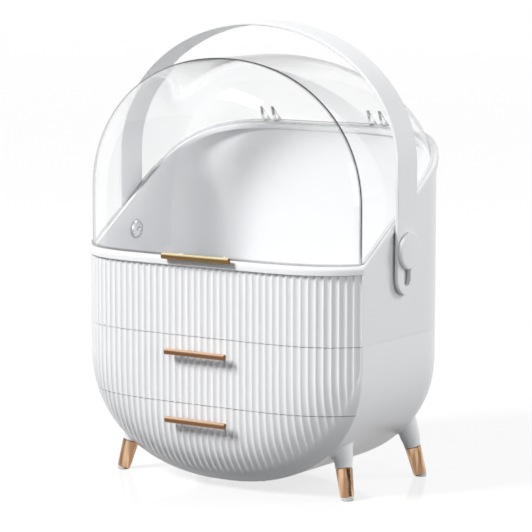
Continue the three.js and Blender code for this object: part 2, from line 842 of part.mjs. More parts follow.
function roundPost(x, barZ, face, barY) {
  const post = rod(postRadius, 0, face - touchGap - barY);
  return toSolid(post.rotateX(Math.PI / 2).translate(x, face - touchGap, barZ));
}

// Stepped post of the lid's bar, which reaches back over the tray's rim
function lidBracket(x, barZ, face, barY) {
  const low = barZ - barHeight / 4;
  const high = lidPostZ + bracketRise;
  const clearOfRim = frontFace - rimOverhang - touchGap * 2;
  const overRim = lidBaseZ + touchGap;
  const profile = [
    [barY, low],
    [clearOfRim, low],
    [clearOfRim, overRim],
    [face - touchGap, overRim],
    [face - touchGap, high],
    [clearOfRim, high],
    [barY, barZ + barHeight / 4],
  ];
  return sidePrism(profile, x - postRadius, x + postRadius);
}

// Screw that clamps a bar handle from inside, its head on an inner face
function barScrew(side, barZ, seatY, face) {
  const length = seatY - face + barStandOff - touchGap;
  const piece = screw(barScrewShank, barScrewHead, barScrewHeadHeight, length);
  return piece.rotateX(-Math.PI / 2).translate(side * postPlace, seatY, barZ);
}

// Clear lid: thin shell with a flange on the rim, two lugs for the hinges and holes for its bar
const lidBaseZ = rimFrontZ + touchGap;

function lidShell() {
  const hollow = lidForm(lidWall, 0);
  const above = bandPrism(lidBaseZ, highZ * 2);
  const shell = common(cut(lidForm(0, overrun), hollow), above);
  const flange = common(
    cut(lidForm(-lidFlange, overrun), hollow),
    bandPrism(lidBaseZ, lidBaseZ + lidFlangeHeight),
  );
  const lugs = [];
  for (const middle of [-hingePlace, hingePlace]) {
    for (const edge of [-1, 1]) {
      const near = middle + edge * (knuckleHalfWidth + touchGap);
      const span = spanOf(near, near + edge * lugThickness);
      const web = [
        [hingeY - eyeRadius, hingeZ + eyeRadius],
        [hingeY, hingeZ - eyeRadius / 2],
        [hingeY + eyeRadius, hingeZ],
        [hingeY, hingeZ + eyeRadius],
        [hingeY - lugForward, hingeZ + lugRise],
        [hingeY - lugForward - overrun, hingeZ + lugRise],
        [bodyDepth - overrun, lidBaseZ + rimTopSpan + touchGap],
        [hingeY - eyeRadius, lidBaseZ + (hingeY - eyeRadius) * rimSlope],
      ];
      lugs.push(cut(hingeEye(web, ...span), hollow));
    }
  }
  return cut(join(shell, flange, ...lugs), hingeBore(), ...lidBarHoles());
}

const lidFace = -lidBow - lidFlange;
const lidPostZ = lidBaseZ + touchGap + barScrewHead;

function lidBarHoles() {
  return [-1, 1].map((side) => {
    const hole = rod(barScrewShank + touchGap, -lidBow, lidBow, 12);
    hole.rotateX(Math.PI / 2);
    hole.translate(side * postPlace, lidFace, lidPostZ);
    return toSolid(hole);
  });
}

// Outline, drawn as Y and Z, that is open at its top and rounded at its bottom
function roundEnded(halfBreadth, lowZ, highestZ, steps) {
  const line = [[handleY + halfBreadth, highestZ]];
  for (let i = 0; i <= steps; i++) {
    const angle = (i / steps) * Math.PI;
    const drop = halfBreadth - halfBreadth * Math.sin(angle);
    line.push([handleY + halfBreadth * Math.cos(angle), lowZ + drop]);
  }
  line.push([handleY - halfBreadth, highestZ]);
  return line;
}

function handleArch(halfWidth, rise) {
  const line = [];
  for (let i = 0; i <= handleSteps; i++) {
    const angle = (i / handleSteps) * Math.PI;
    line.push([halfWidth * Math.cos(angle), handleArchZ + rise * Math.sin(angle)]);
  }
  return line;
}

// Carry handle: a flat band bent into an arch, with rounded arm ends and a slot in each arm
function carryHandle() {
  const endZ = pivotZ - armEndDrop;
  const profile = [
    [handleHalfWidth, endZ],
    ...handleArch(handleHalfWidth, handleArchRise),
    [-handleHalfWidth, endZ],
    [-handleInnerHalfWidth, endZ],
    ...handleArch(handleInnerHalfWidth, handleArchRise - handleThickness).reverse(),
    [handleInnerHalfWidth, endZ],
  ];
  const half = handleBreadth / 2;
  const slotHalf = slotWidth / 2;
  const band = frontPrism(profile, handleY - half, handleY + half);
  const ends = sidePrism(roundEnded(half, endZ, highZ * 2, 16), -wideSpan, wideSpan);
  const slotLowZ = pivotZ - slotTravel - slotHalf;
  const slot = sidePrism(roundEnded(slotHalf, slotLowZ, pivotZ, 10), -wideSpan, wideSpan);
  const slotTop = rod(slotHalf, -wideSpan, wideSpan, 20).rotateY(Math.PI / 2);
  return cut(common(band, ends), slot, toSolid(slotTop.translate(0, handleY, pivotZ)));
}

// Pivot of the handle on each side: knob with its shaft, washer behind the arm, screw from inside
const knobFaceX = handleHalfWidth + touchGap;
const wallInnerX = bodyHalfWidth - casingWall;

function pivotKnob(side) {
  const boreEnd = knobFaceX - touchGap;
  const knob = turned([
    [pivotScrewShank + touchGap, wallInnerX],
    [knobShaft, wallInnerX],
    [knobShaft, knobFaceX],
    [knobRadius, knobFaceX],
    [knobRadius, knobFaceX + knobThickness - knobRound],
    [knobRadius - knobRound / 3, knobFaceX + knobThickness - knobRound / 3],
    [knobRadius - knobRound, knobFaceX + knobThickness],
    [0, knobFaceX + knobThickness],
    [0, boreEnd],
    [pivotScrewShank + touchGap, boreEnd],
    [pivotScrewShank + touchGap, wallInnerX],
  ], 24);
  return alongSide(knob, side).translate(0, handleY, pivotZ);
}

function pivotWasher(side) {
  const low = bodyHalfWidth + touchGap;
  const high = handleInnerHalfWidth - touchGap;
  const bore = knobShaft + touchGap;
  const washer = turned([
    [bore, low],
    [washerRadius, low],
    [washerRadius, high],
    [bore, high],
    [bore, low],
  ], 16);
  return alongSide(washer, side).translate(0, handleY, pivotZ);
}

function pivotScrew(side) {
  const seat = wallInnerX - touchGap;
  const piece = screw(pivotScrewShank, pivotScrewHead, pivotScrewHeadHeight, pivotScrewLength);
  piece.rotateX(Math.PI);
  piece.translate(0, 0, seat);
  return alongSide(piece, side).translate(0, handleY, pivotZ);
}

// Legs: a moulded leg with a spigot, a metal tip over it, and a pad under the tip
function legBody(leg) {
  const spigot = tipLowRadius - tipWall - touchGap;
  const high = tipHigh + socketReach;
  const screwLow = leg.bossTop - legScrewLength - touchGap;
  const bore = screwShank + touchGap;
  const body = turned([
    [0, tipLow + tipFloor + touchGap],
    [spigot, tipLow + tipFloor + touchGap],
    [spigot, tipHigh + touchGap],
    [tipHighRadius + touchGap, tipHigh + touchGap],
    [socketHighRadius, tipHigh + flareHeight],
    [socketHighRadius, high],
    [bore, high],
    [bore, screwLow],
    [0, screwLow],
  ], 16);
  return cut(toSolid(onLeg(body, leg)), casingForm(-touchGap, -overrun, highZ));
}

function legTip(leg) {
  const bore = tipLowRadius - tipWall;
  const tip = turned([
    [0, tipLow],
    [tipLowRadius - touchGap, tipLow],
    [tipLowRadius, tipLow + touchGap],
    [tipHighRadius, tipHigh],
    [bore, tipHigh],
    [bore, tipLow + tipFloor],
    [0, tipLow + tipFloor],
  ], 16);
  return onLeg(tip, leg);
}

function footPad(leg) {
  const pad = toSolid(onLeg(rod(padRadius, -overrun, padTop, 14), leg));
  return common(pad, block(-wideSpan, wideSpan, frontFace, bodyDepth, 0, overrun));
}

// The assembly

const organizer = new THREE.Group();

function add(name, shape, finish) {
  const geometry = shape.isBufferGeometry ? shape : toGeometry(shape);
  const mesh = new THREE.Mesh(geometry, new THREE.MeshStandardMaterial(finishes[finish]));
  mesh.name = name;
  organizer.add(mesh);
}

add("lower_casing", lowerCasing(), "white");
add("divider_shelf", dividerShelf(), "white");
add("upper_tray", upperTray(), "white");

for (const [name, { barZ }] of Object.entries(drawers)) {
  const innerInset = frontWall + touchGap + trayWall;
  const seatY = faceY(postPlace + barScrewHead, barZ - barScrewHead, innerInset) + touchGap;
  const face = faceY(postPlace, barZ, 0);
  add(`${name}_front`, drawerFront(name), "white");
  add(`${name}_tray`, drawerTray(name), "white");
  add(`${name}_bar`, barHandle(barLength, barZ, face, barZ, roundPost), "roseGold");
  for (const [sideName, side] of sides) {
    add(`${name}_screw_${sideName}`, barScrew(side, barZ, seatY, face), "steel");
  }
}

add("lid_shell", lidShell(), "clear");
add("lid_bar", barHandle(lidBarLength, lidBarZ, lidFace, lidPostZ, lidBracket), "gold");
add("carry_handle", carryHandle(), "white");
for (const [name, side] of sides) {
  add(`lid_screw_${name}`, barScrew(side, lidPostZ, -lidBow + lidWall + touchGap, lidFace), "steel");
  const pinHalf = knuckleHalfWidth + touchGap + lugThickness;
  const pin = rod(hingePinRadius, -pinHalf, pinHalf).rotateY(Math.PI / 2);
  add(`hinge_pin_${name}`, pin.translate(side * hingePlace, hingeY, hingeZ), "steel");
  add(`pivot_knob_${name}`, pivotKnob(side), "white");
  add(`pivot_washer_${name}`, pivotWasher(side), "white");
  add(`pivot_screw_${name}`, pivotScrew(side), "steel");
}

for (const leg of legs) {
  add(`leg_${leg.name}`, legBody(leg), "white");
  add(`leg_tip_${leg.name}`, legTip(leg), "roseGold");
  add(`foot_pad_${leg.name}`, footPad(leg), "pad");
}

for (const leg of legs) {
  const piece = screw(screwShank, screwHead, screwHeadHeight, legScrewLength, leg.bossTop + touchGap);
  add(`leg_screw_${leg.name}`, onLeg(piece, leg), "steel");
}

for (const boss of casingBosses) {
  const seat = trayFloorTopZ + touchGap;
  const piece = screw(screwShank, screwHead, screwHeadHeight, casingScrewLength, seat);
  add(`casing_screw_${boss.name}`, atBoss(piece, boss), "steel");
}

// Origin on the floor, under the middle of the object's width and depth
const frontReach = frontFace - barStandOff - barDepth;
const rearReach = hingeY + eyeRadius;
organizer.position.y = -(frontReach + rearReach) / 2;

export default organizer;
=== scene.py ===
# Dustproof makeup organizer, dressed for rendering: a white round-bottomed casing on four legs, two
# ribbed drawers, an open tray, a clear lid and a carry handle. Sizes are millimetres. Y is counted
# from the front crease of the casing until placed() turns a point into the frame's metres.

import math

import bmesh
import bpy
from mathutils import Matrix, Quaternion, Vector


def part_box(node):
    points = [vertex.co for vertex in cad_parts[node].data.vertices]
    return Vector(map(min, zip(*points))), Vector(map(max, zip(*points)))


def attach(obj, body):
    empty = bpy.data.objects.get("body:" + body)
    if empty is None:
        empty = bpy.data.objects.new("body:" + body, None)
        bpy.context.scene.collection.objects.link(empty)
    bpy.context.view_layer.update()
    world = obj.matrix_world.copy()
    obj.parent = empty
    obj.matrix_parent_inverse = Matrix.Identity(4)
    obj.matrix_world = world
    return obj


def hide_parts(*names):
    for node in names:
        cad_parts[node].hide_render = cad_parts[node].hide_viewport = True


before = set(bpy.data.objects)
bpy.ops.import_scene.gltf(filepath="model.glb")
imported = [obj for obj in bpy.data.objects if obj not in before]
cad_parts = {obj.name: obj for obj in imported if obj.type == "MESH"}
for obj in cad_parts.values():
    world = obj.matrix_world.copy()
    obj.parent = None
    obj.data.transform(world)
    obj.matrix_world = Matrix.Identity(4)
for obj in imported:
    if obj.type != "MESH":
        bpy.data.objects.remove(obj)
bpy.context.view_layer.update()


# Camera. The picture was taken from some distance with a long lens, a little above the drawers
# and to the right of them.

camera_target = Vector((0.002486, 0.00035, 0.178023))
camera_azimuth = math.radians(33.737)
camera_elevation = math.radians(7.528)
camera_roll = math.radians(0.065)
camera_distance = 2.257744
camera_lens = 182.5
camera_reach = 50


def add_object(name, data):
    thing = bpy.data.objects.new(name, data)
    bpy.context.scene.collection.objects.link(thing)
    return thing


camera_back = Vector((
    math.sin(camera_azimuth) * math.cos(camera_elevation),
    -math.cos(camera_azimuth) * math.cos(camera_elevation),
    math.sin(camera_elevation),
))
camera = add_object("camera", bpy.data.cameras.new("camera"))
camera.data.lens = camera_lens
camera.data.clip_end = camera_reach
camera.location = camera_target + camera_back * camera_distance
camera.rotation_mode = "QUATERNION"
camera_aim = (-camera_back).to_track_quat("-Z", "Y")
camera.rotation_quaternion = camera_aim @ Quaternion((0, 0, 1), camera_roll)
bpy.context.scene.camera = camera


# Lower casing: one U-shaped injection moulding in glossy white plastic, closed and rounded at
# the rear. Ledges carry the shelf, two runners carry the lower drawer, and posts take the
# tray's screws.

crease_place = -59.65
half_width = 134.7
straight_end = 101
rear_radius = 50
rear_steps = 14
round_centre = 107
round_drop = 100.4
round_power = 2.2
casing_top = 129.2
casing_front = 0.1
casing_wall = 2.6
sharp_angle = 42


def placed(point):
    x, y, z = point
    return Vector((x, y + crease_place, z)) / 1000


def bent(value, power):
    """A sine or cosine for an arch that is squarer than an ellipse."""
    return math.copysign(abs(value) ** (2 / power), value)


def casing_outline(half, drop, top, steps=56):
    """The U of the casing from its right upper edge round to its left one."""
    outline = [(half, top)]
    for i in range(steps + 1):
        angle = math.pi * (0.5 - i / steps)
        down = bent(math.cos(angle), round_power)
        outline.append((half * bent(math.sin(angle), round_power), round_centre - drop * down))
    outline.append((-half, top))
    return outline


def add_rows(bm, rows, closed=True, first_cap=False, last_cap=False):
    """Faces between rows of equally many points, as rings or as open strips."""
    made = [[bm.verts.new(placed(point)) for point in row] for row in rows]
    for low, high in zip(made, made[1:]):
        count = len(low)
        for i in range(count if closed else count - 1):
            bm.faces.new((low[i], low[(i + 1) % count], high[(i + 1) % count], high[i]))
    if first_cap:
        bm.faces.new(made[0])
    if last_cap:
        bm.faces.new(made[-1][::-1])
    return made


def add_solid(bm, rows):
    """A closed solid between the first and the last row of points."""
    add_rows(bm, rows, first_cap=True, last_cap=True)


def add_block(bm, low, high):
    corners = ((low[0], low[1]), (high[0], low[1]), (high[0], high[1]), (low[0], high[1]))
    add_solid(bm, [[(x, y, z) for x, y in corners] for z in (low[2], high[2])])


def quarter_turn(steps):
    """Angles from 0 to 90 degrees."""
    return [math.pi / 2 * i / steps for i in range(steps + 1)]


def circle(radius, sides):
    angles = [2 * math.pi * i / sides for i in range(sides)]
    return [(radius * math.cos(angle), radius * math.sin(angle)) for angle in angles]


def turned_rings(profile, sides, turn):
    """Rings of a lathe profile of radius and height. turn takes each point to its place."""
    return [[turn((x, y, height)) for x, y in circle(radius, sides)] for radius, height in profile]


def upright(x, y, z=0):
    """Puts turned points on an upright axis."""
    return lambda point: (point[0] + x, point[1] + y, point[2] + z)


def round_edges(piece, width, segments, angle):
    edges = piece.modifiers.new("rounded edges", "BEVEL")
    edges.width = width / 1000
    edges.segments = segments
    edges.limit_method = "ANGLE"
    edges.angle_limit = math.radians(angle)


def add_piece(name, bm, material, body, stands_for=(), wall=0, bevel=0, bevel_angle=40):
    """A finished piece: its mesh, material, rounded edges, and the body and node it belongs to."""
    bmesh.ops.recalc_face_normals(bm, faces=bm.faces)
    mesh = bpy.data.meshes.new(name)
    bm.to_mesh(mesh)
    bm.free()
    mesh.shade_smooth()
    mesh.set_sharp_from_angle(angle=math.radians(sharp_angle))
    mesh.materials.append(material)
    piece = add_object(name, mesh)
    if wall:
        thicken = piece.modifiers.new("wall", "SOLIDIFY")
        thicken.thickness = wall / 1000
        thicken.offset = -1
        thicken.use_even_offset = True
    if bevel:
        round_edges(piece, bevel, 3, bevel_angle)
    piece.modifiers.new("even shading", "WEIGHTED_NORMAL").keep_sharp = True
    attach(piece, body)
    if stands_for:
        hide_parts(*stands_for)
    return piece


def new_group(name, inputs):
    """An empty node group that puts out a colour, a roughness and the height of a bump."""
    group = bpy.data.node_groups.new(name, "ShaderNodeTree")
    for words, kind, value in inputs:
        kind = "NodeSocket" + kind
        socket = group.interface.new_socket(name=words, in_out="INPUT", socket_type=kind)
        socket.default_value = value
    for words, kind in (("Colour", "Color"), ("Roughness", "Float"), ("Height", "Float")):
        kind = "NodeSocket" + kind
        group.interface.new_socket(name=words, in_out="OUTPUT", socket_type=kind)
    return group, group.nodes.new("NodeGroupInput").outputs, group.nodes.new("NodeGroupOutput")


def fill(tree, node, sockets):
    """Gives each socket of a node its value, or links it to the output of another node."""
    for socket, value in sockets.items():
        if isinstance(value, bpy.types.NodeSocket):
            tree.links.new(value, node.inputs[socket])
        else:
            node.inputs[socket].default_value = value


def add_node(tree, kind, sockets=None, **settings):
    """A shader node with its sockets filled. Gives back its outputs."""
    node = tree.nodes.new("ShaderNode" + kind)
    for setting, value in settings.items():
        setattr(node, setting, value)
    fill(tree, node, sockets or {})
    return node.outputs


def reckon(tree, operation, first, second):
    return add_node(tree, "Math", {0: first, 1: second}, operation=operation)["Value"]


def ramp(tree, value, start, end, low=0, high=1, **settings):
    """Goes from low to high while a value goes from start to end."""
    sockets = {"Value": value, "From Min": start, "From Max": end, "To Min": low, "To Max": high}
    return add_node(tree, "MapRange", sockets, **settings)["Result"]


def mixed(tree, share, first, second, blend="MIX"):
    """One colour laid over another."""
    sockets = {"Factor": share, "A": first, "B": second}
    return add_node(tree, "Mix", sockets, data_type="RGBA", blend_type=blend)["Result"]


def laid_over(tree, share, first, second):
    """One shader laid over another."""
    return add_node(tree, "MixShader", {"Fac": share, 1: first, 2: second})["Shader"]


# The moulded surface that all plastic pieces share: a very fine grain from the mould, and slow
# changes of gloss and tone across a wall, as where the plastic cooled unevenly.
moulded, moulded_in, moulded_out = new_group("moulded surface", [
    ("Colour", "Color", (0.8, 0.8, 0.8, 1)),
    ("Roughness", "Float", 0.3),
    ("Grain Scale", "Float", 900),
    ("Tone Change", "Float", 0.03),
])
place = add_node(moulded, "TexCoord")["Object"]
grain = add_node(moulded, "TexNoise", {
    "Vector": place, "Scale": moulded_in["Grain Scale"], "Detail": 3,
})
flow = add_node(moulded, "TexNoise", {"Vector": place, "Scale": 14, "Detail": 4})
gloss = ramp(moulded, flow["Fac"], 0.3, 0.7, 0.94, 1.06)
fill(moulded, moulded_out, {
    "Colour": mixed(
        moulded, moulded_in["Tone Change"], moulded_in["Colour"], flow["Fac"], "MULTIPLY",
    ),
    "Roughness": reckon(moulded, "MULTIPLY", gloss, moulded_in["Roughness"]),
    "Height": grain["Fac"],
})


def new_material(name):
    material = bpy.data.materials.new(name)
    material.use_nodes = True
    return material, material.node_tree, material.node_tree.nodes["Principled BSDF"]


def surfaced(name, group, sockets, depth):
    """A material that takes its colour, roughness and a shallow bump from a node group."""
    material, tree, shader = new_material(name)
    surface = add_node(tree, "Group", sockets, node_tree=group)
    bump = add_node(tree, "Bump", {"Distance": depth / 1000, "Height": surface["Height"]})
    fill(tree, shader, {
        "Base Color": surface["Colour"],
        "Roughness": surface["Roughness"],
        "Normal": bump["Normal"],
    })
    return material, tree, shader


def plastic(name, colour, roughness, grain_scale, grain_depth, tone_change):
    return surfaced(name, moulded, {
        "Colour": (*colour, 1),
        "Roughness": roughness,
        "Grain Scale": grain_scale,
        "Tone Change": tone_change,
    }, grain_depth)[0]


white_gloss = plastic("white gloss plastic", (0.84, 0.845, 0.855), 0.3, 900, 0.003, 0.015)
white_inner = plastic("white satin plastic", (0.84, 0.845, 0.85), 0.42, 700, 0.01, 0.02)

casing_stations = [(casing_front, 0.25), (casing_front + 0.1, 0.08), (casing_front + 0.3, 0)]
casing_stations += [(y, 0) for y in (25, 50, 75)]
for angle in quarter_turn(rear_steps):
    y = straight_end + rear_radius * math.sin(angle)
    casing_stations.append((y, rear_radius * (1 - math.cos(angle))))
casing = bmesh.new()
casing_rows = []
for y, turn_in in casing_stations:
    outline = casing_outline(half_width - turn_in, round_drop - turn_in, casing_top)
    casing_rows.append([(x, y, z) for x, z in outline])
add_rows(casing, casing_rows, closed=False, last_cap=True)
add_piece(
    "casing_shell", casing, white_gloss, "casing", ["lower_casing"],
    wall=casing_wall,
)

both_sides = (("left", -1), ("right", 1))
rail_front = 3
ledge_in, ledge_out = 121.1, 125.0
ledge_low, ledge_high = 68.4, 70.9
runner_half, runner_place = 3, 36
runner_low, runner_high = 8.6, 15.9
post_place, post_front, post_rear = 128, 15, 92
post_profile = [(5, 103.35), (5, casing_top - 0.3)]
rails = bmesh.new()
for _, side in both_sides:
    x0, x1 = sorted((side * ledge_in, side * ledge_out))
    add_block(rails, (x0, rail_front, ledge_low), (x1, straight_end, ledge_high))
    x0, x1 = side * runner_place - runner_half, side * runner_place + runner_half
    add_block(rails, (x0, rail_front, runner_low), (x1, straight_end, runner_high))
    for y in (post_front, post_rear):
        add_solid(rails, turned_rings(post_profile, 24, upright(side * post_place, y)))
add_piece("casing_rails", rails, white_inner, "casing", bevel=0.3)


# Upper tray: one white moulding with a ribbed bowed front, plain sides and a rounded rear. Its
# walls end in a rounded rim, level in front and sloping up behind, with a mouth that follows
# the lid.

bow_depth = 32.6
bow_power = 5.84
crease_edge = 1.2
rib_count = 46
rib_depth = 1.6
ridge_share = 0.12
tray_low = 129.5
tray_floor = 132.25
tray_side_wall = 2.6
flute_profile = (
    (0, 0.03), (0.07, 0.3), (0.18, 0.62), (0.34, 0.9), (0.5, 1),
    (0.66, 0.9), (0.82, 0.62), (0.93, 0.3), (1, 0.03),
)
rib_shoulder = 0.04
rim_front = 194
rim_slope = 0.644
rim_bend = 4
rim_height = 7
rim_proud = 1.8
rim_plate = 3.4
rim_ledge = 4
lid_half = 133.5
lid_centre = 240
lid_rise = 114.54
lid_bow = 30
lid_depth = 152
lid_side_radius = 50
lid_top_radius = 75
lid_power = 2.08
lid_rear_power = 2.8
hinge_place, hinge_y, hinge_z = 54, 158, 289.04
eye_radius = 3.8
knuckle_half = 4
knuckle_rear = 149.7


def bow_at(reach):
    return 1 - min(1, reach) ** bow_power


def rib_columns():
    """Places across the front as shares of its half width, with the depth share of the flutes."""
    steps = 600
    line = [(0, 0)]
    for i in range(1, steps + 1):
        before, length = line[-1]
        rise = bow_depth * (bow_at(i / steps) - bow_at(before))
        line.append((i / steps, length + math.hypot(half_width / steps, rise)))
    total = line[-1][1]

    def share_at(length):
        for (low_share, low), (high_share, high) in zip(line, line[1:]):
            if high >= abs(length):
                share = low_share + (high_share - low_share) * (abs(length) - low) / (high - low)
                return math.copysign(share, length)
        return math.copysign(1, length)

    pitch = 2 * total / rib_count
    columns = [(-1, 0)]
    for rib in range(rib_count):
        start = (rib + ridge_share / 2) * pitch - total
        width = pitch * (1 - ridge_share)
        columns.append((share_at(start - pitch * rib_shoulder), 0))
        for place_share, depth_share in flute_profile:
            columns.append((share_at(start + width * place_share), depth_share))
        columns.append((share_at(start + width + pitch * rib_shoulder), 0))
    columns.append((1, 0))
    return columns


columns = rib_columns()


def rim_at(y):
    """Height of the rim: level in front, sloping behind, with a short bend between."""
    if y <= -rim_bend:
        return rim_front
    if y < rim_bend:
        return rim_front + rim_slope * (y + rim_bend) ** 2 / (4 * rim_bend)
    return rim_front + rim_slope * y


def lid_section(y, inset):
    """Half width, rise and roundness of the lid's arch at a distance behind the crease."""
    top = lid_top_radius - inset
    side = lid_side_radius - inset
    past_top = min(top, max(0, y - (lid_depth - lid_top_radius)))
    past_side = min(side, max(0, y - (lid_depth - lid_side_radius)))
    drop = top - math.sqrt(top ** 2 - past_top ** 2)
    turn_in = side - math.sqrt(side ** 2 - past_side ** 2)
    power = lid_power + (lid_rear_power - lid_power) * (max(0, y) / lid_depth) ** 3
    return lid_half - inset - turn_in, lid_rise - inset - drop, power


def lid_half_at(y, inset):
    """Half width of the lid where it meets the rim's slope."""
    wide, tall, power = lid_section(y, inset)
    up = max(0, (rim_at(y) - lid_centre) / tall)
    return wide * max(0, 1 - up ** power) ** (1 / power)


def lengths_along(points):
    """Length of a line as far as each of its points."""
    lengths = [0]
    for first, second in zip(points, points[1:]):
        lengths.append(lengths[-1] + math.dist(first, second))
    return lengths


def resampled(points, shares):
    """Points at shares of the length of a line."""
    lengths = lengths_along(points)
    found = []
    at = 0
    for share in shares:
        wanted = share * lengths[-1]
        while at + 2 < len(lengths) and lengths[at + 1] < wanted:
            at += 1
        part = (wanted - lengths[at]) / max(1e-9, lengths[at + 1] - lengths[at])
        part = min(1, max(0, part))
        found.append(tuple(a + (b - a) * part for a, b in zip(points[at], points[at + 1])))
    return found


def plan_side(inset):
    """Right half of the casing's plan behind the crease, as far as the middle of the rear."""
    side = half_width - inset
    radius = rear_radius - inset
    flat, rear = side - radius, straight_end + radius
    points = [(side, y) for y in (0, 1.5, 3, 4.5, 7, 20, 40, 60, 80)]
    for angle in quarter_turn(rear_steps):
        x = side - radius * (1 - math.cos(angle))
        points.append((x, straight_end + radius * math.sin(angle)))
    return points + [(flat * share, rear) for share in (0.8, 0.6, 0.4, 0.2, 0)]


def mouth_side(inset, shares):
    """Right half of the lid's line on the rim behind the crease, with as many points."""
    low, high = 0, lid_depth - inset
    for _ in range(40):
        middle = (low + high) / 2
        if lid_half_at(middle, inset) > 0:
            low = middle
        else:
            high = middle
    steps = 160
    places = [low * (1 - (1 - i / steps) ** 3) for i in range(steps)]
    points = [(lid_half_at(y, inset), y) for y in places]
    points.append((0, low))
    return resampled(points, shares)


def whole_loop(front, side):
    """A closed line in plan: the front from left to right, and the sides to the rear."""
    return front + side + [(-x, y) for x, y in reversed(side[:-1])]


def plan_loop(inset, depth=0):
    bow = bow_depth - inset - crease_edge
    front = [
        (share * (half_width - inset), depth * groove - bow * bow_at(abs(share)) - crease_edge)
        for share, groove in columns
    ]
    return whole_loop(front, plan_side(inset))


def mouth_loop(inset):
    lengths = lengths_along(plan_side(0))
    shares = [length / lengths[-1] for length in lengths]
    half, bow = lid_half - inset, lid_bow - inset
    front = [(share * half, -bow * bow_at(abs(share))) for share, _ in columns]
    return whole_loop(front, mouth_side(inset, shares))


def level(loop, z):
    return [(x, y, z) for x, y in loop]


def sloped(loop, below):
    return [(x, y, rim_at(y) - below) for x, y in loop]


def leaf_rows(outline, x0, x1):
    return [[(x, y, z) for y, z in outline] for x in (x0, x1)]


def eye_outline():
    return [(hinge_y + y, hinge_z + z) for y, z in circle(eye_radius, 20)]


# From the underside up the ribs, over the rim into the lid's mouth, and down to the floor
inner_wall = plan_loop(tray_side_wall)
inner_low = plan_loop(tray_side_wall + 1.2)
tray = bmesh.new()
underside = plan_loop(0.3, rib_depth)[:len(columns)] + plan_loop(0)[len(columns):]
tray_rows = [level(underside, tray_low), level(plan_loop(0, rib_depth), tray_low + 0.3)]
for inset, depth, below in (
    (0, rib_depth, rim_height + 12), (0, rib_depth, rim_height - 0.2),
    (-0.2, 0, rim_height), (-1.2, 0, rim_height), (-1.65, 0, rim_height - 0.25),
    (-rim_proud, 0, rim_height - 0.8), (-rim_proud, 0, 3.2),
    (-1.62, 0, 2), (-1.1, 0, 0.95), (-0.3, 0, 0.25), (0.7, 0, 0),
):
    tray_rows.append(sloped(plan_loop(inset, depth), below))
for inset, below in ((-0.5, 0), (-0.1, 0.3), (0, 0.7), (0, rim_plate)):
    tray_rows.append(sloped(mouth_loop(rim_ledge + inset), below))
tray_rows += [
    sloped(inner_wall, rim_plate), level(inner_wall, tray_floor + 1.2),
    level(inner_low, tray_floor),
]
add_solid(tray, tray_rows)
knuckle_web = [
    (knuckle_rear, hinge_z - 13), (hinge_y + 2.6, hinge_z - 2.6),
    (hinge_y, hinge_z + eye_radius), (knuckle_rear, hinge_z),
]
web_inset = 0.1
for middle in (-hinge_place, hinge_place):
    low, high = middle - knuckle_half, middle + knuckle_half
    add_solid(tray, leaf_rows(eye_outline(), low, high))
    add_solid(tray, leaf_rows(knuckle_web, low + web_inset, high - web_inset))
add_piece("tray_shell", tray, white_gloss, "casing", ["upper_tray"])


# Drawer fronts: ribbed white mouldings, each a shell with a flange behind that the drawer's box
# plugs into. The ribs run straight down and fade out before the round edge, which stays plain.

seam_low, seam_high = 73.4, 129.4
seam_half = 0.25
front_wall = 3
front_end = -0.15
plain_edge = 6
rib_fade = 13
flange_front, flange_rear = -3, -0.2
box_half = 115.3
trough_half, trough_drop, trough_floor = 108.3, 95.8, 15.9


def front_row(inset, z, depth):
    """Points across the bowed face at one height. Flutes end before the round edge."""
    drop = round_drop - inset
    wide = half_width - inset
    down = min(1, max(0, round_centre - z) / drop)
    half = wide * (1 - down ** round_power) ** (1 / round_power)
    bow = bow_depth - inset - crease_edge
    low_share = min(1, down / 0.45)
    plain = 0.6 + plain_edge * low_share
    keep = max(0, half - plain)
    row = [(-half, front_end, z)]
    for share, groove in columns:
        across = abs(share) * wide
        if across > keep and half < wide:
            across = keep + (across - keep) * (half - keep) / (wide - keep)
        reach = ((across / wide) ** round_power + down ** round_power) ** (1 / round_power)
        inside = half - across - plain
        if down > 0:
            inside = min(inside, (1 - reach) / reach * math.hypot(across, round_centre - z) - plain)
        fade = min(1, max(0, inside / (0.6 + rib_fade * low_share)))
        flute = groove * depth * fade * fade * (3 - 2 * fade)
        row.append((math.copysign(across, share), flute - bow * bow_at(reach) - crease_edge, z))
    return row + [(half, front_end, z)]


def add_shell(bm, outer, inner):
    """A closed wall between two grids of points."""
    front = add_rows(bm, outer, closed=False)
    back = add_rows(bm, inner, closed=False)
    rims = [(front[end], back[end]) for end in (0, -1)]
    rims += [([row[end] for row in front], [row[end] for row in back]) for end in (0, -1)]
    for a, b in rims:
        for i in range(len(a) - 1):
            bm.faces.new((a[i], a[i + 1], b[i + 1], b[i]))


def front_heights(inset, low, high, steps):
    """Heights for the rows of a front, closer together where the bottom turns flat."""
    if low is not None:
        return [low + (high - low) * i / steps for i in range(steps + 1)]
    first = math.radians(4)
    last = math.acos(((round_centre - high) / (round_drop - inset)) ** (round_power / 2))
    angles = [first + (last - first) * i / steps for i in range(steps + 1)]
    drops = [bent(math.cos(angle), round_power) for angle in angles]
    return [round_centre - (round_drop - inset) * drop for drop in drops]


def side_flange(side, low, high):
    """Flat strip between the upper drawer's box and the edge of its front."""
    rows = []
    for z in front_heights(0, low, high, 8):
        edge = abs(front_row(front_wall - 0.5, z, 0)[0][0])
        rows.append([(side * box_half, flange_front, z), (side * edge, flange_front, z)])
    return rows


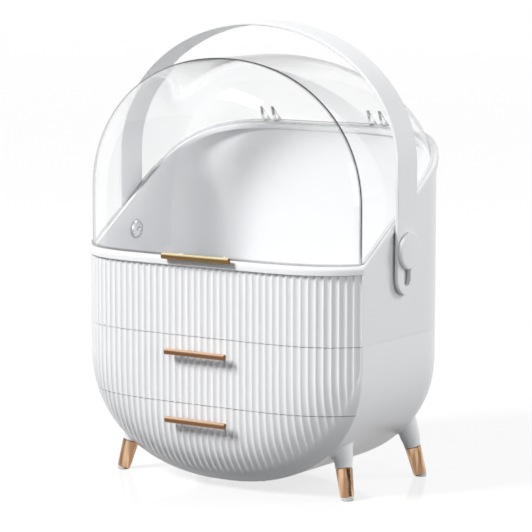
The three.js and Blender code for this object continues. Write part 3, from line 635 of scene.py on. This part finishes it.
def round_flange(top, steps=48):
    """Flat U between the lower drawer's trough and the edge of its front."""
    rows = []
    edge_half, edge_drop = half_width - front_wall + 0.5, round_drop - front_wall + 0.5
    for i in range(steps + 1):
        turn = -1 + 2 * i / steps
        row = []
        for half, drop in ((trough_half, trough_drop), (edge_half, edge_drop)):
            angle = turn * math.acos(((round_centre - top) / drop) ** (round_power / 2))
            z = round_centre - drop * bent(math.cos(angle), round_power)
            row.append((half * bent(math.sin(angle), round_power), flange_front, z))
        row[0] = (row[0][0], row[0][1], max(row[0][2], trough_floor))
        rows.append(row)
    return rows


flange_margin = 0.3
for name, low, high, steps in (
    ("drawer_1", seam_low + seam_half, seam_high - seam_half, 14),
    ("drawer_2", None, seam_low - seam_half, 34),
):
    front = bmesh.new()
    outer_rows = [front_row(0, z, rib_depth) for z in front_heights(0, low, high, steps)]
    inner_heights = front_heights(front_wall, low, high, steps)
    inner_rows = [front_row(front_wall, z, 0) for z in inner_heights]
    add_shell(front, outer_rows, inner_rows)
    top = high - flange_margin
    if low is None:
        flanges = [round_flange(top)]
    else:
        flanges = [side_flange(side, low + flange_margin, top) for side in (-1, 1)]
    for flange in flanges:
        add_shell(front, flange, [[(x, flange_rear, z) for x, _, z in row] for row in flange])
    add_piece(name + "_ribbed_front", front, white_gloss, name, [name + "_front"])


# Drawer boxes and the shelf between them: plain white mouldings as packed, with eased edges.
# The boxes plug into the flanges of their fronts, and the shelf lies on the casing's ledges.

def paint(node, material):
    """Gives its finish to a piece that is shown as packed."""
    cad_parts[node].material_slots[0].material = material


for node in ("drawer_1_tray", "drawer_2_tray", "divider_shelf"):
    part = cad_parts[node]
    paint(node, white_inner)
    part.modifiers.new("joined edges", "WELD").merge_threshold = 0.00001
    round_edges(part, 0.4, 2, 50)
    part.modifiers.new("even shading", "WEIGHTED_NORMAL")


# Bar handles of the drawers: drawn metal bars with small rounded edges, brushed along their
# length and anodised rose gold, each on two round posts screwed on from inside.

bar_depth, bar_height, bar_round = 4.4, 5, 1.9
bar_stand_off = 5.5
drawer_bar_length = 59
drawer_bar_heights = {"drawer_1": 116.6, "drawer_2": 60.2}
bar_post_place = 21
bar_post_radius = 1.6
bar_post_drop = 0.6
bar_post_sunk = 1.6
bar_grain = (60, 3000, 3000)
bar_screw_sizes = (2.3, 1.5, 1.1)
screw_margin = 1.5

# Brushed metal: fine scratches along one direction, with a little tone and edges worn brighter.
# Broad streaks of tone are painted reflection bands, and faces turned down get painted shade.
brushed, brushed_in, brushed_out = new_group("brushed metal", [
    ("Colour", "Color", (0.8, 0.6, 0.5, 1)),
    ("Edge Colour", "Color", (0.9, 0.8, 0.7, 1)),
    ("Roughness", "Float", 0.3),
    ("Stretch", "Vector", bar_grain),
    ("Streaks", "Float", 0),
    ("Underside Shade", "Float", 0),
])
place = add_node(brushed, "TexCoord")
spread = add_node(brushed, "VectorMath", {
    0: place["Object"], 1: brushed_in["Stretch"],
}, operation="MULTIPLY")["Vector"]
scratch = add_node(brushed, "TexNoise", {"Vector": spread, "Scale": 1, "Detail": 2})
scratch_rough = ramp(brushed, scratch["Fac"], 0.3, 0.7, 0.75, 1.25)
# Broad streaks are painted reflection bands in the bright colour, and the sharp edges are worn as
# bright as bare metal
broad = add_node(brushed, "TexNoise", {"Vector": spread, "Scale": 0.3})
streak = reckon(brushed, "MULTIPLY", ramp(brushed, broad["Fac"], 0.46, 0.6), brushed_in["Streaks"])
reflection_streaked = mixed(brushed, streak, brushed_in["Colour"], brushed_in["Edge Colour"])
shape = add_node(brushed, "NewGeometry")
worn = ramp(brushed, shape["Pointiness"], 0.52, 0.6, 0, 0.6)
streaked_and_worn = mixed(brushed, worn, reflection_streaked, brushed_in["Edge Colour"])
# Painted shade: faces turned downwards are darkened, so the top of a pull stays lighter than its
# underside
up = add_node(brushed, "SeparateXYZ", {"Vector": place["Normal"]})
underside_shade_mask = reckon(brushed, "MULTIPLY", ramp(brushed, up["Z"], 0.6, 0), brushed_in["Underside Shade"])
fill(brushed, brushed_out, {
    "Colour": mixed(brushed, underside_shade_mask, streaked_and_worn, (0.24, 0.17, 0.12, 1), "MULTIPLY"),
    "Roughness": reckon(brushed, "MULTIPLY", scratch_rough, brushed_in["Roughness"]),
    "Height": scratch["Fac"],
})


def metal(name, colour, edge_colour, roughness, stretch, scratch_depth, streaks=0, underside_shade=0):
    material, _, shader = surfaced(name, brushed, {
        "Colour": (*colour, 1),
        "Edge Colour": (*edge_colour, 1),
        "Roughness": roughness,
        "Stretch": stretch,
        "Streaks": streaks,
        "Underside Shade": underside_shade,
    }, scratch_depth)
    shader.inputs["Metallic"].default_value = 1
    return material


# The pulls get painted shade on their undersides
rose_bar = metal(
    "rose gold bar", (0.95, 0.61, 0.39), (0.98, 0.79, 0.6), 0.34, bar_grain, 0.004, underside_shade=1,
)
screw_steel = metal(
    "plated screw steel", (0.62, 0.63, 0.65), (0.8, 0.8, 0.82), 0.3, (400, 400, 400), 0.004,
)


def rounded_section(half_y, half_z, round_y, round_z, steps):
    """A rectangle in Y and Z with rounded corners."""
    points = []
    for quarter in range(4):
        centre_y = (half_y - round_y) * (1 if quarter in (0, 3) else -1)
        centre_z = (half_z - round_z) * (1 if quarter in (0, 1) else -1)
        for i in range(steps + 1):
            angle = math.pi / 2 * (quarter + i / steps)
            y = centre_y + round_y * math.cos(angle)
            points.append((y, centre_z + round_z * math.sin(angle)))
    return points


def add_bar(bm, length, y, z):
    rows = []
    for along, inset in ((0, 0.45), (0.13, 0.13), (0.45, 0)):
        corner = bar_round - inset
        half_y, half_z = bar_depth / 2 - inset, bar_height / 2 - inset
        section = rounded_section(half_y, half_z, corner, corner, 5)
        rows.append([(along - length / 2, y + a, z + b) for a, b in section])
    add_solid(bm, rows + [[(-x, y, z) for x, y, z in row] for row in reversed(rows)])


def lying(x, y, z):
    """Puts turned points on an axis from front to rear."""
    return lambda point: (point[0] + x, point[2] + y, point[1] + z)


def face_at(x, z):
    """Y of the ribs' crests on a drawer front."""
    down = max(0, round_centre - z) / round_drop
    reach = ((abs(x) / half_width) ** round_power + down ** round_power) ** (1 / round_power)
    return -(bow_depth - crease_edge) * bow_at(reach) - crease_edge


def add_screw_head(bm, radius, height, turn, sides=28):
    """A low round head with a cross recess, its seat at height zero."""
    profile = [(0.001, -0.6), (radius, -0.6), (radius, 0), (radius, height * 0.45)]
    for share in (0.35, 0.65, 0.85, 1):
        angle = math.pi / 2 * share
        out, up = (0.45 + 0.55 * part for part in (math.cos(angle), math.sin(angle)))
        profile.append((radius * out, height * up))
    profile += [(radius * 0.3, height), (radius * 0.16, height * 0.45)]
    rings = turned_rings(profile, sides, upright(0, 0))
    for i, (x, y, z) in enumerate(rings[-2]):
        lobe = 1 + 0.75 * max(0, math.cos(4 * (2 * math.pi * i / sides))) ** 2
        rings[-2][i] = (x * lobe, y * lobe, z)
    add_solid(bm, [[turn(point) for point in ring] for ring in rings])


def add_screw(name, body, node, sizes, length, turn):
    """A screw with its seat at height zero. sizes are its head's radius and height, and the
    radius of its shank."""
    radius, height, shank = sizes
    screw = bmesh.new()
    add_screw_head(screw, radius, height, turn)
    add_solid(screw, turned_rings([(shank, -length), (shank, 0)], 12, turn))
    add_piece(name, screw, screw_steel, body, [node])


def add_bar_screw(name, body, node, sizes, x, z):
    """A screw from inside that holds a bar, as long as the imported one."""
    low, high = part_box(node)
    seat = high.y * 1000 - crease_place - screw_margin
    end = low.y * 1000 - crease_place + 0.1
    add_screw(name, body, node, sizes, seat - end, lying(x, seat, z))


for name, bar_z in drawer_bar_heights.items():
    face = face_at(bar_post_place, bar_z)
    bar_y = face - bar_stand_off - bar_depth / 2
    bar = bmesh.new()
    add_bar(bar, drawer_bar_length, bar_y, bar_z)
    post = [(bar_post_radius, bar_y), (bar_post_radius, face + bar_post_sunk)]
    for side in (-1, 1):
        turn = lying(side * bar_post_place, 0, bar_z - bar_post_drop)
        add_solid(bar, turned_rings(post, 28, turn))
    add_piece(name + "_bar_handle", bar, rose_bar, name, [name + "_bar"])
    for side_name, side in both_sides:
        add_bar_screw(
            f"{name}_{side_name}_bar_screw", name, f"{name}_screw_{side_name}",
            bar_screw_sizes, side * bar_post_place, bar_z,
        )


# Legs: splayed white mouldings with a spigot, a drawn and brushed rose gold sleeve over it, and
# a soft pale pad pressed in below. The white part widens and grows out of the casing's round.

foot_half, front_foot, rear_foot = 113, 13.7, 130
splay, rake = 0.228, 0.144
sleeve_low, sleeve_high = 2.2, 25.8
sleeve_low_radius, sleeve_high_radius = 5.6, 6.95
flare_low, flare_radius, flare_top = 34, 9.4, 90
flare_step = 0.25
pad_radius, pad_top = 5.1, 1.9
leg_sides = 48

# Its dark colour and broad bright streaks are painted reflection, the bands that a round polished
# sleeve mirrors
rose_sleeve = metal(
    "rose gold sleeve", (0.3, 0.15, 0.08), (0.88, 0.6, 0.38), 0.24, (600, 600, 10), 0.005,
    streaks=0.8,
)
pad_rubber = plastic("pale foot pad", (0.62, 0.62, 0.63), 0.7, 1200, 0.02, 0.06)


def leg_turn(side, foot_y, lean):
    up = Vector((-side * splay, lean, 1)).normalized()
    turn = Vector((0, 0, 1)).rotation_difference(up).to_matrix()
    foot = Vector((side * foot_half, foot_y, 0))
    return lambda point: tuple(turn @ Vector(point) + foot)


def in_casing(point):
    x, y, z = point
    past = min(rear_radius, max(0, y - straight_end))
    turn_in = rear_radius - math.sqrt(rear_radius ** 2 - past ** 2)
    across = abs(x) / (half_width - turn_in)
    down = (round_centre - z) / (round_drop - turn_in)
    return down < 0 or across ** round_power + down ** round_power < 1


def casing_height(x, y, turn):
    """How far up a leg a point of its outline meets the casing."""
    height = flare_low
    while height < flare_top and not in_casing(turn((x, y, height))):
        height += flare_step
    return height


spigot = [(4, sleeve_high - 3), (4, sleeve_high + 0.3)]
leg_profile = spigot + [
    (sleeve_high_radius - 0.4, sleeve_high + 0.3),
    (sleeve_high_radius - 0.05, sleeve_high + 0.45),
    (sleeve_high_radius + 0.1, sleeve_high + 0.9),
    (7.15, 28.6), (7.6, 31.5), (8.3, flare_low),
]
flare = ((-0.6, -2.2), (0, -0.9), (0.9, 0.5), (1.2, 1.6))
sleeve_outside = [
    (sleeve_low_radius - 0.7, sleeve_low), (sleeve_low_radius - 0.25, sleeve_low + 0.12),
    (sleeve_low_radius, sleeve_low + 0.6), (sleeve_high_radius - 0.02, sleeve_high - 0.5),
    (sleeve_high_radius - 0.12, sleeve_high - 0.12), (sleeve_high_radius - 0.4, sleeve_high),
]
sleeve_inside = [
    (sleeve_low_radius - 1.2, sleeve_high), (4.3, sleeve_high - 2),
    (4.2, sleeve_low + 2), (3.9, sleeve_low + 1.6),
]
sleeve_profile = [(3.9, sleeve_low + 0.25)] + sleeve_outside + sleeve_inside
pad_low = [(pad_radius - 0.5, 0), (pad_radius, 0)]
pad_high = [(pad_radius, pad_top - 0.4), (pad_radius - 0.4, pad_top)]

for end, foot_y, lean in (("front", front_foot, rake), ("rear", rear_foot, -rake)):
    for side_name, side in both_sides:
        name = f"{end}_{side_name}"
        turn = leg_turn(side, foot_y, lean)
        leg = bmesh.new()
        rows = turned_rings(leg_profile, leg_sides, turn)
        for grow, above in flare:
            ring = circle(flare_radius + grow, leg_sides)
            heights = [max(flare_low + 0.2, casing_height(x, y, turn) + above) for x, y in ring]
            rows.append([turn((x, y, height)) for (x, y), height in zip(ring, heights)])
        add_solid(leg, rows)
        add_piece(
            "leg_moulding_" + name, leg, white_gloss, "casing", ["leg_" + name],
        )

        sleeve = bmesh.new()
        add_solid(sleeve, turned_rings(sleeve_profile, leg_sides, turn))
        add_piece(
            "leg_sleeve_" + name, sleeve, rose_sleeve, "casing", ["leg_tip_" + name],
        )

        pad = bmesh.new()
        lower = turned_rings(pad_low, leg_sides, turn)
        upper = turned_rings(pad_high, leg_sides, turn)
        rows = [[(x, y, z) for x, y, _ in ring] for ring, z in zip(lower, (0, 0.35))]
        rows += [[(x, y, max(z, 0.5)) for x, y, z in ring] for ring in upper]
        add_solid(pad, rows)
        add_piece(
            "foot_cushion_" + name, pad, pad_rubber, "casing", ["foot_pad_" + name],
        )

        paint("leg_screw_" + name, screw_steel)


# Screws that hold the tray down on the casing: plated steel with round cross heads, seen on the
# tray's floor through the clear lid. They run down into the casing's posts.

tray_screw_sizes = (3.6, 2.2, 1.7)
tray_screw_length = 14.9
tray_screw_seat = tray_floor + 0.3
for end, y in (("front", post_front), ("rear", post_rear)):
    for side_name, side in both_sides:
        name = f"{end}_{side_name}"
        add_screw(
            f"tray_{name}_screw", "casing", f"casing_screw_{name}", tray_screw_sizes,
            tray_screw_length, upright(side * post_place, y, tray_screw_seat),
        )


# Clear lid: one thin clear moulding with a bowed front, an arched roof that turns down at the
# rear, a small foot that stands on the tray's rim, and lugs for the hinge pins.

lid_foot = 1.6
lid_foot_proud = 1.3
lid_lift = 0.3
lid_spare = 30
arch_steps = 72
lug_gap = 0.3
lug_width = 3
# Strengths of the painted shade at the lid's corner and foot
corner_grey, foot_grey = 0.62, 0.5

clear, clear_tree, clear_shader = surfaced("clear plastic", moulded, {
    "Colour": (0.993, 0.995, 0.997, 1), "Roughness": 0.02, "Grain Scale": 35, "Tone Change": 0.005,
}, 0.02)
fill(clear_tree, clear_shader, {"Transmission Weight": 1, "IOR": 1.46})


def clear_sum(operation, first, second):
    return reckon(clear_tree, operation, first, second)


def clear_ramp(value, start, end):
    return ramp(clear_tree, value, start, end, interpolation_type="SMOOTHSTEP")


# Seen edge on, the wall is painted grey: painted shade along the lid's outlines
facing = add_node(clear_tree, "LayerWeight", {"Blend": 0.5})
edge_mask = clear_ramp(facing["Facing"], 0.68, 0.95)
# The moulded corner behind the bowed front and the foot are thicker; they get painted dark lines as
# painted shade
clear_place = add_node(clear_tree, "TexCoord")
axes = add_node(clear_tree, "SeparateXYZ", {"Vector": clear_place["Object"]})
corner_y = (crease_place + 0.2) / 1000
from_corner = clear_sum("ABSOLUTE", clear_sum("ADD", axes["Y"], -corner_y), 0)
corner_mask = clear_sum("MULTIPLY", clear_ramp(from_corner, 0.0011, 0.0004), corner_grey)
behind = clear_sum("MAXIMUM", clear_sum("ADD", axes["Y"], -crease_place / 1000), 0)
on_slope = clear_sum("ADD", clear_sum("MULTIPLY", behind, rim_slope), rim_front / 1000)
over_rim = clear_sum("SUBTRACT", axes["Z"], on_slope)
foot_mask = clear_sum("MULTIPLY", clear_ramp(over_rim, 0.0022, 0.0012), foot_grey)
painted_line_mask = clear_sum("MAXIMUM", corner_mask, foot_mask)
clear_colour = clear_shader.inputs["Base Color"].links[0].from_socket
# Painted shade: towards near black along the outlines, the corner and the foot
painted_dark_share = clear_sum("MAXIMUM", edge_mask, painted_line_mask)
fill(clear_tree, clear_shader, {
    "Base Color": mixed(clear_tree, painted_dark_share, clear_colour, (0.04, 0.042, 0.046, 1)),
})
# Light on its way to the things behind the lid passes straight through
path = add_node(clear_tree, "LightPath")
see_through = add_node(clear_tree, "BsdfTransparent", {"Color": (0.95, 0.95, 0.95, 1)})
on_its_way = clear_sum("MAXIMUM", path["Is Shadow Ray"], path["Is Diffuse Ray"])
fill(clear_tree, clear_tree.nodes["Material Output"], {
    "Surface": laid_over(clear_tree, on_its_way, clear_shader.outputs["BSDF"], see_through["BSDF"]),
})


def lid_ring(y, reach):
    wide, tall, power = lid_section(y, 0)
    wide, tall = wide * reach, tall * reach
    low = rim_front - lid_spare
    wall_heights = [low + (lid_centre - low) * share for share in (0, 0.3, 0.6, 0.85)]
    ring = [(wide, y, z) for z in wall_heights]
    for i in range(arch_steps + 1):
        angle = math.pi * i / arch_steps
        z = lid_centre + tall * bent(math.sin(angle), power)
        ring.append((wide * bent(math.cos(angle), power), y, z))
    return ring + [(-wide, y, z) for z in reversed(wall_heights)]


lid_reaches = (
    0.04, 0.2, 0.35, 0.48, 0.58, 0.66, 0.72, 0.77, 0.81, 0.845,
    0.875, 0.9, 0.92, 0.94, 0.955, 0.97, 0.98, 0.99, 1,
)
lid = bmesh.new()
lid_rings = [lid_ring(-lid_bow * bow_at(reach), reach) for reach in lid_reaches]
lid_rings += [lid_ring(y, 1) for y in (0.6, 10, 25, 40, 55, 70)]
for angle in quarter_turn(30)[1:]:
    lid_rings.append(lid_ring(lid_depth - lid_top_radius + lid_top_radius * math.sin(angle), 1))
add_rows(lid, lid_rings, closed=False, first_cap=True)
# The wall ends on the rim's line, level in front and sloping behind, cut in five short steps
for share in (0, 0.25, 0.5, 0.75, 1):
    touch_y = rim_bend * (2 * share - 1)
    touch = placed((0, touch_y, rim_at(touch_y) + lid_lift + lid_foot))
    upwards = Vector((0, -rim_slope * share, 1)).normalized()
    bmesh.ops.bisect_plane(
        lid, geom=lid.verts[:] + lid.edges[:] + lid.faces[:], dist=1e-6,
        plane_co=touch, plane_no=upwards, clear_inner=True,
    )
bmesh.ops.remove_doubles(lid, verts=lid.verts, dist=2e-5)
bmesh.ops.recalc_face_normals(lid, faces=lid.faces)

rear_middle, slope_margin, slope_step = 3, 1.7, 0.5


def foot_way(x, y):
    """The way outwards in plan at a point of the lid's lower edge."""
    if y < 0:
        share = min(1, abs(x) / lid_half)
        across = share ** (bow_power - 1) * lid_bow * bow_power / lid_half
        return Vector((math.copysign(across, x), -1, 0)).normalized()
    if abs(x) <= rear_middle:
        return Vector((0, 1, 0))
    y = min(y, lid_depth - slope_margin)
    ahead = lid_half_at(y + slope_step, 0) - lid_half_at(y, 0)
    return Vector((math.copysign(1, x), max(0, -ahead / slope_step), 0)).normalized()


# The foot: the lower edge turns outwards and lies on the rim
lower_edge = [edge for edge in lid.edges if edge.is_boundary]
grown = bmesh.ops.extrude_edge_only(lid, edges=lower_edge)["geom"]
for vert in [item for item in grown if isinstance(item, bmesh.types.BMVert)]:
    y = vert.co.y * 1000 - crease_place
    outward = foot_way(vert.co.x * 1000, y)
    vert.co += outward * lid_foot_proud / 1000
    vert.co.z += outward.y * lid_foot_proud * (rim_slope if y > 0 else 0) / 1000
add_piece(
    "lid_dome", lid, clear, "lid", ["lid_shell"],
    wall=lid_foot, bevel=0.8, bevel_angle=28,
)

lug_web = [
    (hinge_y + 1, hinge_z + 3.6), (147.6, hinge_z + 14), (145.2, hinge_z + 16),
    (149.2, hinge_z + 4.6), (hinge_y - 3.4, hinge_z + 1),
]
lugs = bmesh.new()
for middle in (-hinge_place, hinge_place):
    for side in (-1, 1):
        near = middle + side * (knuckle_half + lug_gap)
        low, high = sorted((near, near + side * lug_width))
        add_solid(lugs, leaf_rows(eye_outline(), low, high))
        add_solid(lugs, leaf_rows(lug_web, low + web_inset, high - web_inset))
add_piece("lid_lugs", lugs, clear, "lid", bevel=0.2)

for side_name, _ in both_sides:
    paint("hinge_pin_" + side_name, screw_steel)


# The lid's bar: the same drawn bar in a yellower bright gold, on two flat brackets that reach
# back over the rim to the lid's foot, where two small screws hold them.

lid_bar_length = 66
lid_bar_z = 194.8
lid_bar_y = -31.4 - bar_stand_off - bar_depth / 2
lid_screw_z = 195.9
lid_screw_sizes = (1.25, 1, 0.9)
bracket_half = 2.1
bracket_bend, bracket_end, bracket_low = -35.1, -31.8, 194.7

# Its underside gets painted shade, as the drawer pulls' do
bright_gold = metal(
    "bright gold bar", (0.9, 0.73, 0.4), (0.96, 0.85, 0.56), 0.36, bar_grain, 0.003, underside_shade=1,
)
bracket = [
    (lid_bar_y, lid_bar_z - 1.2), (bracket_bend, lid_bar_z - 1.2), (bracket_bend, bracket_low),
    (bracket_end, bracket_low), (bracket_end, lid_screw_z + 0.2),
    (bracket_bend, lid_screw_z + 0.2), (lid_bar_y, lid_bar_z + 1.2),
]
lid_bar = bmesh.new()
add_bar(lid_bar, lid_bar_length, lid_bar_y, lid_bar_z)
for middle in (-bar_post_place, bar_post_place):
    add_solid(lid_bar, leaf_rows(bracket, middle - bracket_half, middle + bracket_half))
add_piece("lid_bar_handle", lid_bar, bright_gold, "lid", ["lid_bar"])

for side_name, side in both_sides:
    add_bar_screw(
        f"lid_{side_name}_bar_screw", "lid", f"lid_screw_{side_name}",
        lid_screw_sizes, side * bar_post_place, lid_screw_z,
    )


# Carry handle: a flat white band moulded as one arch, with rounded arm ends. A slot below each
# pivot lets it lift before it swings back.

handle_half, handle_centre, handle_rise = 140, 270, 112.44
handle_thick, handle_half_breadth = 3, 15
handle_y, pivot_z = 60, 200.64
arm_end = pivot_z - 36.1
slot_half, slot_travel = 5.15, 23.4
slot_cut_in, slot_cut_out = 130, 150
handle_edge = 0.8


def handle_line():
    """Points of the band's middle line from the right arm over the top. Each is x, z, the way
    outwards, and the share of the band's breadth."""
    half = handle_half - handle_thick / 2
    rise = handle_rise - handle_thick / 2
    arm = arm_end + handle_half_breadth
    line = []
    for angle in quarter_turn(8):
        z = arm_end + handle_half_breadth * (1 - math.cos(angle))
        line.append((half, z, 1, 0, math.sin(angle)))
    for i in range(1, 8):
        line.append((half, arm + (handle_centre - arm) * i / 8, 1, 0, 1))
    for angle in quarter_turn(48):
        across, up = math.cos(angle), math.sin(angle)
        out = Vector((across / half, up / rise)).normalized()
        line.append((half * across, handle_centre + rise * up, out.x, out.y, 1))
    left = [(-x, z, -out_x, out_z, share) for x, z, out_x, out_z, share in line[:-1]]
    return line + left[::-1]


handle = bmesh.new()
handle_rows = []
for x, z, out_x, out_z, share in handle_line():
    breadth = max(0.6, handle_half_breadth * share)
    round_y = min(handle_edge, breadth * 0.9)
    section = rounded_section(breadth, handle_thick / 2, round_y, handle_edge, 4)
    handle_rows.append([(x + out_x * out, handle_y + y, z + out_z * out) for y, out in section])
add_solid(handle, handle_rows)
handle_piece = add_piece(
    "handle_band", handle, white_gloss, "handle", ["carry_handle"],
)

# The slots are cut once, and the band keeps the cut mesh
slot_outline = []
for start, z in ((0, pivot_z), (math.pi, pivot_z - slot_travel)):
    for i in range(25):
        angle = start + math.pi * i / 24
        y = handle_y + slot_half * math.cos(angle)
        slot_outline.append((y, z + slot_half * math.sin(angle)))
slot_cut = bmesh.new()
for side in (-1, 1):
    low, high = sorted((side * slot_cut_in, side * slot_cut_out))
    add_solid(slot_cut, leaf_rows(slot_outline, low, high))
bmesh.ops.recalc_face_normals(slot_cut, faces=slot_cut.faces)
slot_mesh = bpy.data.meshes.new("slot cutter")
slot_cut.to_mesh(slot_mesh)
slot_cut.free()
slot_tool = add_object("slot_cutter", slot_mesh)
slots = handle_piece.modifiers.new("slots", "BOOLEAN")
slots.operation = "DIFFERENCE"
slots.object = slot_tool
handle_piece.modifiers.move(1, 0)
bpy.context.view_layer.update()
depsgraph = bpy.context.evaluated_depsgraph_get()
slotted = bpy.data.meshes.new_from_object(handle_piece.evaluated_get(depsgraph))
handle_piece.modifiers.clear()
handle_piece.data = slotted
bpy.data.objects.remove(slot_tool)


# Pivots of the handle: round white knobs with a rounded edge and a shaft through the arm's
# slot, a plain spacer behind the arm, and a screw from inside the tray.

knob_face = handle_half + 0.3
knob_radius, knob_thick, knob_round = 15.3, 3.7, 1.9
knob_shaft = 4.8
pivot_inner = 132.1
pivot_screw_head = (8, 2.4)

knob_end = knob_face + knob_thick
knob_profile = [
    (0.01, pivot_inner + 0.3), (knob_shaft - 0.3, pivot_inner + 0.3),
    (knob_shaft, pivot_inner + 0.6), (knob_shaft, knob_face),
    (knob_radius - 0.3, knob_face), (knob_radius, knob_face + 0.3),
]
for angle in quarter_turn(8):
    radius = knob_radius - knob_round + knob_round * math.cos(angle)
    knob_profile.append((radius, knob_end - 0.25 - knob_round + knob_round * math.sin(angle)))
knob_profile += [(9, knob_end - 0.1), (3, knob_end), (0.01, knob_end)]


def across_side(side, start, way):
    """Puts turned points on the pivots' axis. way is 1 outwards and -1 inwards."""
    return lambda point: (side * (start + way * point[2]), handle_y + point[0], pivot_z + point[1])


for side_name, side in both_sides:
    knob = bmesh.new()
    add_solid(knob, turned_rings(knob_profile, 72, across_side(side, 0, 1)))
    add_piece(
        "handle_knob_" + side_name, knob, white_gloss, "pivots",
        ["pivot_knob_" + side_name],
    )

    screw = bmesh.new()
    turn = across_side(side, pivot_inner - 0.3, -1)
    add_screw_head(screw, *pivot_screw_head, turn, sides=40)
    add_piece(
        f"handle_{side_name}_screw", screw, screw_steel, "pivots",
        ["pivot_screw_" + side_name],
    )
    paint("pivot_washer_" + side_name, white_inner)


# Floor and light: a plain white glossy table top. A large soft lamp high in front lights the
# ribbed face and shades one side of each flute; one behind on the right grazes the side wall.

floor_half = 6
lamp_aim = Vector((0, 0, 0.18))
lamps = (
    ("front_lamp", (-1.25, -2.5, 2.35), 1.0, 143),
    ("right_rear_lamp", (2.3, 1.9, 1.6), 1.2, 41),
    ("right_lamp", (2.9, -0.6, 0.7), 1.6, 29),
)


def seen_share(tree):
    """1 for camera, glossy and transmission rays, and 0 for the light on things."""
    path = add_node(tree, "LightPath")
    either = reckon(tree, "MAXIMUM", path["Is Camera Ray"], path["Is Glossy Ray"])
    return reckon(tree, "MAXIMUM", either, path["Is Transmission Ray"])


def add_sheet(name, corners, material):
    """A flat sheet with four corners, kept out of the part."""
    mesh = bpy.data.meshes.new(name)
    mesh.from_pydata(corners, [], [(0, 1, 2, 3)])
    mesh.materials.append(material)
    sheet = add_object(name, mesh)
    return sheet


floor_white, floor_tree, floor_shader = new_material("white table top")
fill(floor_tree, floor_shader, {"Base Color": (0.9, 0.9, 0.9, 1), "Roughness": 0.1})
floor_glow = add_node(floor_tree, "Emission", {"Strength": 1.1})
floor_seen = laid_over(floor_tree, 0.67, floor_shader.outputs["BSDF"], floor_glow["Emission"])
floor_matt = add_node(floor_tree, "BsdfDiffuse", {"Color": (0.1, 0.1, 0.105, 1)})
fill(floor_tree, floor_tree.nodes["Material Output"], {
    "Surface": laid_over(floor_tree, seen_share(floor_tree), floor_matt["BSDF"], floor_seen),
})
add_sheet("floor", [
    (-floor_half, -floor_half, 0), (floor_half, -floor_half, 0),
    (floor_half, floor_half, 0), (-floor_half, floor_half, 0),
], floor_white)

world = bpy.data.worlds.new("studio")
world.use_nodes = True
bpy.context.scene.world = world
world_tree = world.node_tree
room = world_tree.nodes["Background"]
world_place = add_node(world_tree, "TexCoord")
world_up = add_node(world_tree, "SeparateXYZ", {"Vector": world_place["Generated"]})
# The room is brightest at the height of the table and dimmer overhead
overhead = ramp(world_tree, world_up["Z"], 0.15, 0.9, 0.45, 0.08)
fill(world_tree, room, {"Color": (0.94, 0.97, 1, 1), "Strength": overhead})
white = add_node(world_tree, "Background", {"Color": (1, 1, 1, 1)})["Background"]
fill(world_tree, world_tree.nodes["World Output"], {
    "Surface": laid_over(world_tree, seen_share(world_tree), room.outputs["Background"], white),
})

for name, place, size, power in lamps:
    lamp = bpy.data.lights.new(name, "AREA")
    lamp.size = size
    lamp.energy = power
    lamp_object = add_object(name, lamp)
    lamp_object.location = place
    lamp_object.visible_glossy = False
    lamp_object.rotation_mode = "QUATERNION"
    lamp_object.rotation_quaternion = (lamp_aim - Vector(place)).to_track_quat("-Z", "Y")

# Grey cards beside the table, out of the picture, give the metal and the clear lid dark edges
card_low, card_high = 0.01, 0.55
card_grey, card_tree, card_shader = new_material("grey card")
fill(card_tree, card_shader, {"Base Color": (0.05, 0.05, 0.055, 1), "Roughness": 0.8})
for name, start, end in (
    ("left_card", (-0.95, -1.35), (-0.95, -0.35)),
    ("right_card", (1.15, -0.55), (1.15, 0.55)),
):
    corners = [(*start, card_low), (*end, card_low), (*end, card_high), (*start, card_high)]
    card = add_sheet(name, corners, card_grey)
    card.visible_camera = False
    card.visible_transmission = False
    card.visible_diffuse = False
    card.visible_shadow = False

bpy.context.scene.view_settings.view_transform = "Standard"
